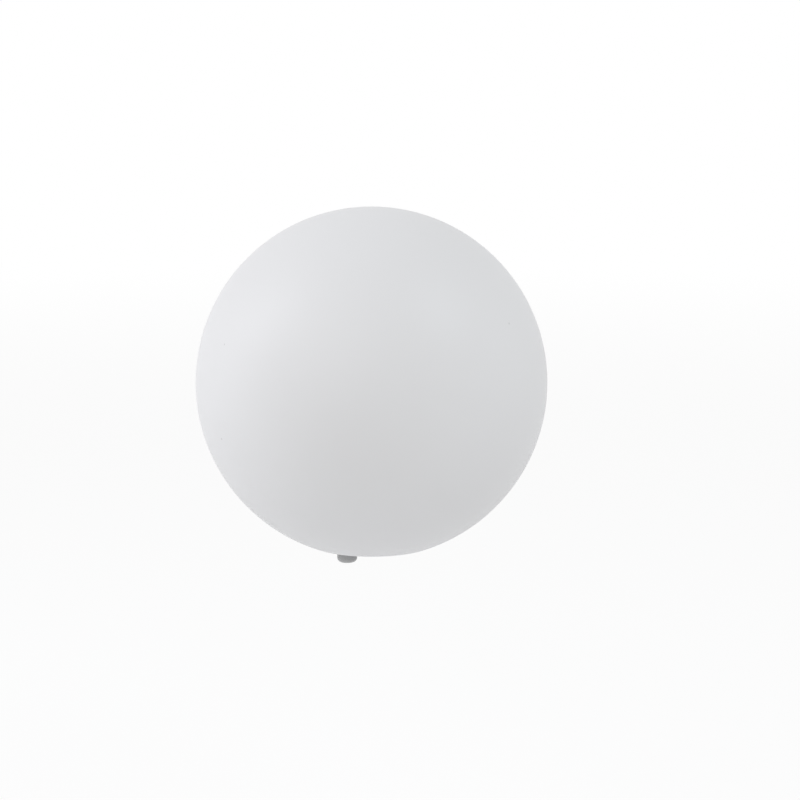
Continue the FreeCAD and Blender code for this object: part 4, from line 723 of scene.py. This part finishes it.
def settle(piece: bpy.types.Object, body: str, finish: Finish,
           nodes: Sequence[str] = ()) -> None:
    """Give a new piece its finish and its body, and hide the CAD nodes that it stands for.

    Args:
        piece: The piece.
        body: The body that it moves with.
        finish: Its finish.
        nodes: The CAD nodes that it stands for.
    """
    piece.data.materials.clear()
    piece.data.materials.append(finish.material())
    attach(piece, body)
    if nodes:
        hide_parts(*nodes)
    LOG.info("%s: %d faces", piece.name, len(piece.data.polygons))


# ---------------------------------------------------------------- geometry node trees


class GeometryRecipe:
    """A Geometry Nodes tree with named sizes, run once and turned into a plain mesh."""

    def __init__(self, name: str, sizes: dict[str, float | int]) -> None:
        """Open the tree with one input for each size.

        Args:
            name: The tree's name.
            sizes: The sizes by name.
        """
        group = bpy.data.node_groups.new(name, "GeometryNodeTree")
        group.interface.new_socket(name="Geometry", in_out="INPUT",
                                   socket_type="NodeSocketGeometry")
        self.sockets: dict[str, str] = {}
        for label, value in sizes.items():
            kind = "NodeSocketInt" if isinstance(value, int) else "NodeSocketFloat"
            socket = group.interface.new_socket(name=label, in_out="INPUT",
                                                socket_type=kind)
            self.sockets[label] = socket.identifier
        group.interface.new_socket(name="Geometry", in_out="OUTPUT",
                                   socket_type="NodeSocketGeometry")
        self.group = group
        self.sizes = sizes
        self.tree = Tree(group)
        self.given = self.tree.add("NodeGroupInput")

    def size(self, label: str) -> Socket:
        """The socket of one named size."""
        return self.given.outputs[label]

    def close(self, shape: Socket, finish: Finish) -> None:
        """End the tree: realise the copies and set the material.

        Args:
            shape: What the tree made.
            finish: The finish of all of it.
        """
        real = self.tree.add("GeometryNodeRealizeInstances", {"Geometry": shape})
        dressed = self.tree.add("GeometryNodeSetMaterial", {
            "Geometry": real.outputs[0], "Material": finish.material()})
        result = self.tree.add("NodeGroupOutput")
        self.tree.give(result, 0, dressed.outputs[0])

    def run(self, name: str, sharp: float) -> bpy.types.Object:
        """Evaluate the tree and keep the result as a plain mesh.

        Args:
            name: The piece's name.
            sharp: Edges that turn by more than this many degrees stay sharp.

        Returns:
            The piece.
        """
        carrier = bpy.data.objects.new(name, bpy.data.meshes.new(f"{name}_start"))
        bpy.context.scene.collection.objects.link(carrier)
        modifier = carrier.modifiers.new("recipe", "NODES")
        modifier.node_group = self.group
        for label, value in self.sizes.items():
            modifier[self.sockets[label]] = value
        evaluated = carrier.evaluated_get(bpy.context.evaluated_depsgraph_get())
        mesh = bpy.data.meshes.new_from_object(evaluated)
        carrier.modifiers.remove(modifier)
        smooth_outwards(mesh, sharp)
        mesh.name = name
        carrier.data = mesh
        return carrier


# ---------------------------------------------------------------- sub-assemblies


@dataclass
class SubAssembly:
    """A group of pieces that keep their solids and only get a finish."""

    dressing: dict[str, str] = field(default_factory=dict)

    def build(self) -> None:
        """Dress the carried pieces, then make the new ones."""
        for node, finish in self.dressing.items():
            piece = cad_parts[node]
            piece.data.materials.clear()
            piece.data.materials.append(FINISHES[finish].material())
            LOG.info("%s: %s", node, finish)
        self.make()

    def make(self) -> None:
        """Make the pieces that are built here; a plain group has none."""


@dataclass
class Globe(SubAssembly):
    """The hollow opal ball and the collar in its opening."""

    dressing: dict[str, str] = field(default_factory=lambda: {
        "globe_collar": "grey_base"})
    radius: float = 200 * MM
    wall: float = 3 * MM
    flat_radius: float = 69 * MM
    flat_round: float = 18 * MM
    recess_radius: float = 64.05 * MM
    recess_depth: float = 1.55 * MM
    opening_radius: float = 58.05 * MM
    edge_round: float = 0.4 * MM
    segments: int = 300
    outer_rows: int = 160
    bend_rows: int = 10
    lip_rows: int = 4
    inner_rows: int = 64
    sharp: float = 30.0

    def profile(self) -> list[Spot]:
        """The ball's profile from its outer top pole to its inner one.

        Returns:
            The corners in order.
        """
        centre = math.sqrt(self.radius ** 2 - self.flat_radius ** 2)
        reach = self.radius - self.flat_round
        bend = math.sqrt(reach ** 2 - (centre - self.flat_round) ** 2)
        slope = math.degrees(math.atan2(self.flat_round - centre, bend))
        inner = self.radius - self.wall
        floor_edge = math.sqrt(inner ** 2 - (centre - self.wall) ** 2)
        inner_slope = math.degrees(math.atan2(self.wall - centre, floor_edge))
        lip = self.edge_round
        spots = arc((0.0, centre), self.radius, 90.0, slope, self.outer_rows)
        spots += arc((bend, self.flat_round), self.flat_round, slope, -90.0,
                     self.bend_rows)[1:]
        spots += arc((self.recess_radius + lip, lip), lip, -90.0, -180.0, self.lip_rows)
        spots += [Spot(self.recess_radius, self.recess_depth),
                  Spot(self.opening_radius, self.recess_depth),
                  Spot(self.opening_radius, self.wall), Spot(floor_edge, self.wall)]
        spots += arc((0.0, centre), inner, inner_slope, 90.0, self.inner_rows)[1:]
        return spots

    def make(self) -> None:
        """Turn the ball."""
        ball = turn_profile("opal_ball", self.profile(), self.segments, (0.0, 0.0),
                            False, self.sharp)
        settle(ball, "globe", OPAL_SHELL, ["globe_shell"])


@dataclass
class Base(SubAssembly):
    """The round base with its gasket, spike socket and breather."""

    dressing: dict[str, str] = field(default_factory=lambda: {
        "base_plate": "grey_base", "base_gasket": "black_rubber", "spike_socket": "brass",
        "breather_body": "grey_base", "breather_membrane": "membrane_white"})


@dataclass
class CableGland(SubAssembly):
    """The cable gland and its dome nut, the one grey piece that shows below the ball."""

    dressing: dict[str, str] = field(default_factory=lambda: {
        "gland_body": "gland_grey", "gland_seal_ring": "black_rubber",
        "gland_locknut": "gland_grey", "gland_sleeve": "black_rubber"})
    axis: tuple[float, float] = (-28 * MM, -11 * MM)
    radius: float = 11.5 * MM
    foot: float = -19.1 * MM
    top: float = -1.1 * MM
    rounding: float = 5.2 * MM
    mouth: float = 5.8 * MM
    bore: float = 8.15 * MM
    end: float = 3.4 * MM
    half_flats: float = 10.3 * MM
    grip: float = 7.6 * MM
    edge_round: float = 0.35 * MM
    cone_step: float = 0.6 * MM
    segments: int = 288
    edge_rows: int = 5
    dome_rows: int = 20
    sharp: float = 24.0

    def profile(self) -> list[Spot]:
        """The nut's profile as a loop.

        Returns:
            The corners in order.
        """
        edge = self.edge_round
        grip_foot = self.top - self.grip
        cone_foot = self.foot + self.end
        cone_top = cone_foot + self.bore - self.mouth
        spots = arc((self.mouth + edge, self.foot + edge), edge, 180.0, 270.0,
                    self.edge_rows)
        spots += arc((self.radius - self.rounding, self.foot + self.rounding),
                     self.rounding, 270.0, 360.0, self.dome_rows)
        spots += [Spot(self.radius, grip_foot), Spot(self.radius, grip_foot, True)]
        upper = arc((self.radius - edge, self.top - edge), edge, 0.0, 90.0,
                    self.edge_rows)
        spots += [Spot(spot.radius, spot.height, True) for spot in upper]
        spots += [Spot(self.bore + edge, self.top), Spot(self.bore, self.top - edge),
                  Spot(self.bore, cone_top), Spot(self.mouth + self.cone_step, cone_foot),
                  Spot(self.mouth, cone_foot)]
        return spots

    def reach(self, spot: Spot, angle: float) -> float:
        """The radius of a corner at an angle, cut back where a grip flat is.

        Args:
            spot: The corner.
            angle: The angle round the nut.

        Returns:
            The radius.
        """
        if not spot.flatted:
            return spot.radius
        sixth = math.pi / 3.0
        away = (angle + sixth / 2.0) % sixth - sixth / 2.0
        flat = (self.half_flats - (self.radius - spot.radius)) / math.cos(away)
        return min(spot.radius, flat)

    def make(self) -> None:
        """Turn the dome nut and cut its flats."""
        nut = turn_profile("dome_nut", self.profile(), self.segments, self.axis, True,
                           self.sharp, self.reach)
        settle(nut, "nut", FINISHES["gland_grey"], ["gland_dome_nut"])


@dataclass
class Lampholder(SubAssembly):
    """The post and the lampholder with its sprung contact."""

    dressing: dict[str, str] = field(default_factory=lambda: {
        "lamp_post": "post_white", "post_screws": "zinc_steel",
        "threaded_nipple": "zinc_steel", "nipple_nut": "zinc_steel",
        "holder_dome": "holder_black", "holder_skirt": "holder_black",
        "holder_core": "holder_ceramic", "holder_screw_shell": "brass",
        "centre_contact": "brass", "holder_clamps": "brass",
        "holder_clamp_screws": "zinc_steel", "holder_live_strip": "brass",
        "holder_neutral_stud": "brass"})
    coil_radius: float = 3.1 * MM
    wire_radius: float = 0.35 * MM
    turns: float = 6.0
    turn_steps: int = 40
    wire_sides: int = 14
    sharp: float = 50.0

    def make(self) -> None:
        """Wind the contact spring between the strip and the contact's head."""
        low, high = (corner[2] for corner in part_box("contact_spring"))
        recipe = GeometryRecipe("spring winding", {
            "Turns": self.turns, "Coil radius": self.coil_radius,
            "Wire radius": self.wire_radius, "Foot": low + self.wire_radius,
            "Rise": high - low - 2.0 * self.wire_radius})
        tree = recipe.tree
        coil = tree.add("GeometryNodeCurveSpiral", {
            "Resolution": self.turn_steps, "Rotations": recipe.size("Turns"),
            "Start Radius": recipe.size("Coil radius"),
            "End Radius": recipe.size("Coil radius"), "Height": recipe.size("Rise")})
        lift = tree.add("ShaderNodeCombineXYZ", {"Z": recipe.size("Foot")})
        raised = tree.add("GeometryNodeTransform", {
            "Geometry": coil.outputs[0], "Translation": lift.outputs[0]})
        section = tree.add("GeometryNodeCurvePrimitiveCircle", {
            "Resolution": self.wire_sides, "Radius": recipe.size("Wire radius")})
        wire = tree.add("GeometryNodeCurveToMesh", {
            "Curve": raised.outputs[0], "Profile Curve": section.outputs[0],
            "Fill Caps": True})
        recipe.close(wire.outputs[0], FINISHES["spring_steel"])
        spring = recipe.run("contact_coil", self.sharp)
        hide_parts("contact_spring")
        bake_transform(spring)
        LOG.info("contact_coil: %d faces", len(spring.data.polygons))


@dataclass
class LedBulb(SubAssembly):
    """The LED bulb with its board and driver."""

    dressing: dict[str, str] = field(default_factory=lambda: {
        "bulb_screw_cap": "nickel_cap", "bulb_insulator": "black_glass",
        "bulb_tip_contact": "zinc_steel", "bulb_body": "bulb_white",
        "bulb_diffuser": "bulb_opal", "bulb_heat_sink": "aluminium",
        "led_board": "board_white", "driver_board": "board_green",
        "driver_parts": "component_black"})
    count: int = 12
    ring_radius: float = 17 * MM
    length: float = 3.5 * MM
    width: float = 2.8 * MM
    pad: float = 0.2 * MM
    pad_width: float = 0.74
    pad_length: float = 0.76
    edge_round: float = 0.12 * MM
    sharp: float = 30.0

    def ring(self, name: str, sizes: tuple[float, float, float], lift: float,
             finish: Finish) -> bpy.types.Object:
        """One small block on every place of the LED ring.

        Args:
            name: The piece's name.
            sizes: Size of the block outwards, round the ring and upwards.
            lift: Height of its underside.
            finish: Its finish.

        Returns:
            The piece.
        """
        recipe = GeometryRecipe(name.replace("_", " "), {
            "Count": self.count, "Ring radius": self.ring_radius, "Width": sizes[0],
            "Length": sizes[1], "Height": sizes[2], "Middle": lift + sizes[2] / 2.0})
        tree = recipe.tree
        places = tree.add("GeometryNodeMeshCircle", {
            "Vertices": recipe.size("Count"), "Radius": recipe.size("Ring radius")})
        extent = tree.add("ShaderNodeCombineXYZ", {
            "X": recipe.size("Width"), "Y": recipe.size("Length"),
            "Z": recipe.size("Height")})
        block = tree.add("GeometryNodeMeshCube", {"Size": extent.outputs[0]})
        outwards = tree.add("FunctionNodeAlignRotationToVector", {
            "Vector": tree.add("GeometryNodeInputPosition").outputs[0]}, axis="X",
            pivot_axis="Z")
        copies = tree.add("GeometryNodeInstanceOnPoints", {
            "Points": places.outputs[0], "Instance": block.outputs[0],
            "Rotation": outwards.outputs[0]})
        middle = tree.add("ShaderNodeCombineXYZ", {"Z": recipe.size("Middle")})
        raised = tree.add("GeometryNodeTransform", {
            "Geometry": copies.outputs[0], "Translation": middle.outputs[0]})
        recipe.close(raised.outputs[0], finish)
        piece = recipe.run(name, self.sharp)
        bevel = piece.modifiers.new("softened", "BEVEL")
        bevel.width = self.edge_round
        bevel.segments = 2
        return piece

    def make(self) -> None:
        """Place the LED packages and their phosphor pads."""
        low, high = (corner[2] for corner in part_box("led_packages"))
        body_height = high - low - self.pad
        body_sizes = (self.width, self.length, body_height)
        bodies = self.ring("led_packages_white", body_sizes, low, FINISHES["board_white"])
        settle(bodies, "bulb", FINISHES["board_white"], ["led_packages"])
        pad_sizes = (self.width * self.pad_width, self.length * self.pad_length, self.pad)
        pads = self.ring("led_phosphor", pad_sizes, low + body_height,
                         FINISHES["led_yellow"])
        settle(pads, "bulb", FINISHES["led_yellow"])


@dataclass
class Wiring(SubAssembly):
    """The terminal block and the two wires."""

    dressing: dict[str, str] = field(default_factory=lambda: {
        "terminal_block": "block_natural", "terminal_sleeves": "brass",
        "terminal_screws": "zinc_steel", "terminal_block_screw": "zinc_steel",
        "live_wire": "wire_brown", "neutral_wire": "wire_blue", "wire_ends": "copper"})


# ---------------------------------------------------------------- studio


def facing(target: Vector, way: Vector, distance: float) -> Matrix:
    """The place and turn of a lamp or camera that looks back at its target.

    Args:
        target: What it looks at.
        way: The way from the target to it, of length 1.
        distance: How far off it stands.

    Returns:
        The place and turn as one matrix.
    """
    turn = way.to_track_quat("Z", "Y").to_matrix().to_4x4()
    return Matrix.Translation(target + way * distance) @ turn


@dataclass(frozen=True)
class Softbox:
    """A soft light: where it stands, seen from the ball, and how strong it is.

    The bearing and the rise are in degrees, to the viewer's right and upwards, the sizes in
    metres and the power in watts.
    """

    name: str
    bearing: float
    rise: float
    distance: float
    width: float
    height: float
    power: float
    tint: Colour = WHITE

    def place(self, target: Vector) -> None:
        """Stand the light and aim it.

        Args:
            target: What it is aimed at.
        """
        lamp = bpy.data.lights.new(self.name, "AREA")
        lamp.shape = "RECTANGLE"
        lamp.size = self.width
        lamp.size_y = self.height
        lamp.energy = self.power
        lamp.color = self.tint
        stand = bpy.data.objects.new(self.name, lamp)
        bearing, rise = math.radians(self.bearing), math.radians(self.rise)
        way = Vector((math.sin(bearing) * math.cos(rise),
                      -math.cos(bearing) * math.cos(rise), math.sin(rise)))
        stand.matrix_world = facing(target, way, self.distance)
        stand.visible_camera = False
        bpy.context.scene.collection.objects.link(stand)


@dataclass
class Studio:
    """The pale floor, the white surroundings, the soft lights and the camera."""

    target: Vector = field(default_factory=lambda: Vector((0.0, 0.0, 187.72 * MM)))
    distance: float = 2.157
    rise: float = 8.0
    lens: float = 85.0
    sensor: float = 36.0
    shift: tuple[float, float] = (0.0356, -0.022)
    clip_near: float = 0.05
    clip_far: float = 200.0
    ambient: float = 0.6
    floor_height: float = -0.36
    floor_radius: float = 40.0
    floor_sides: int = 64
    floor_white: float = 0.9
    fade_start: float = 2.0
    fade_end: float = 9.0
    lights: tuple[Softbox, ...] = (
        Softbox("left_softbox", -97.0, 12.0, 2.2, 1.3, 1.8, 7.3, (0.92, 0.95, 1.0)),
        Softbox("left_high_softbox", -80.0, 35.0, 2.2, 1.2, 1.2, 11.1, (0.91, 0.93, 1.0)),
        Softbox("right_softbox", 60.0, 44.0, 2.2, 0.9, 0.9, 8.3, (0.84, 0.92, 1.0)),
        Softbox("right_fill", 45.0, 20.0, 3.0, 2.0, 2.0, 4.0),
        Softbox("right_side_fill", 95.0, 10.0, 2.4, 1.6, 1.8, 3.1),
        Softbox("front_fill", -25.0, 25.0, 3.0, 2.4, 2.4, 12.0))

    def seen_directly(self, tree: Tree) -> Socket:
        """1 for what the camera, a reflection or a clear piece sees, else 0.

        Args:
            tree: The tree that asks.

        Returns:
            The mask.
        """
        rays = tree.add("ShaderNodeLightPath").outputs
        either = tree.math("MAXIMUM", rays["Is Camera Ray"], rays["Is Glossy Ray"])
        return tree.math("MAXIMUM", either, rays["Is Transmission Ray"])

    def surround(self) -> None:
        """Set the even light all round, which itself is seen as white."""
        world = bpy.data.worlds.new("pale_studio")
        world.use_nodes = True
        world.node_tree.nodes.clear()
        tree = Tree(world.node_tree)
        seen = self.seen_directly(tree)
        level = tree.math("ADD", self.ambient,
                          tree.math("MULTIPLY", seen, 1.0 - self.ambient))
        light = tree.add("ShaderNodeBackground", {"Color": WHITE, "Strength": level})
        tree.add("ShaderNodeOutputWorld", {"Surface": light.outputs[0]})
        bpy.context.scene.world = world

    def lay_floor(self) -> None:
        """Lay the floor: near white where it is seen, shadowed, and open from below."""
        angles = [2.0 * math.pi * step / self.floor_sides
                  for step in range(self.floor_sides)]
        points = [(self.floor_radius * math.cos(angle),
                   self.floor_radius * math.sin(angle), self.floor_height)
                  for angle in angles]
        mesh = bpy.data.meshes.new("studio_floor")
        mesh.from_pydata(points, [], [tuple(range(self.floor_sides))])
        material, tree = open_material("studio_floor")
        cloth = use_pattern(tree, Pattern.MOULDED, {
            "Colour": grey(0.95), "Roughness": 0.9, "Drift": 0.01, "Drift scale": 1.0,
            "Ripple": 0.0, "Grain": 0.05, "Grain scale": 300.0})
        matt = tree.add("ShaderNodeBsdfDiffuse", {
            "Color": cloth.outputs["Colour"], "Normal": cloth.outputs["Normal"]})
        glow = tree.add("ShaderNodeEmission", {"Color": WHITE, "Strength": 1.0})
        away = tree.add("ShaderNodeVectorMath", {0: tree.place()}, operation="LENGTH")
        white = tree.ramp(away.outputs["Value"], self.fade_start, self.fade_end,
                          self.floor_white, 1.0)
        share = tree.math("MULTIPLY", self.seen_directly(tree), white)
        mix = tree.add("ShaderNodeMixShader", {
            0: share, 1: matt.outputs[0], 2: glow.outputs[0]})
        under = tree.add("ShaderNodeNewGeometry").outputs["Backfacing"]
        camera = tree.add("ShaderNodeLightPath").outputs["Is Camera Ray"]
        open_way = tree.add("ShaderNodeBsdfTransparent")
        sided = tree.add("ShaderNodeMixShader", {
            0: tree.math("MULTIPLY", under, camera), 1: mix.outputs[0],
            2: open_way.outputs[0]})
        tree.add("ShaderNodeOutputMaterial", {"Surface": sided.outputs[0]})
        floor = bpy.data.objects.new("studio_floor", mesh)
        mesh.materials.append(material)
        bpy.context.scene.collection.objects.link(floor)

    def stand_camera(self) -> None:
        """Stand the camera where the photograph was taken from."""
        camera = bpy.data.cameras.new("camera")
        camera.lens = self.lens
        camera.sensor_width = self.sensor
        camera.shift_x, camera.shift_y = self.shift
        camera.clip_start = self.clip_near
        camera.clip_end = self.clip_far
        stand = bpy.data.objects.new("camera", camera)
        rise = math.radians(self.rise)
        way = Vector((0.0, -math.cos(rise), math.sin(rise)))
        stand.matrix_world = facing(self.target, way, self.distance)
        bpy.context.scene.collection.objects.link(stand)
        bpy.context.scene.camera = stand

    def build(self) -> None:
        """Set up the whole studio."""
        self.surround()
        self.lay_floor()
        self.stand_camera()
        for light in self.lights:
            light.place(self.target)
        bpy.context.scene.view_settings.view_transform = "Standard"


def main() -> None:
    """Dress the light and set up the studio."""
    logging.basicConfig(level=logging.INFO, format="%(message)s")
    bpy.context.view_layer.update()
    for assembly in (Globe(), Base(), CableGland(), Lampholder(), LedBulb(), Wiring()):
        LOG.info("%s", type(assembly).__name__)
        assembly.build()
    Studio().build()
    bpy.context.view_layer.update()


if __name__ == "__main__":
    main()
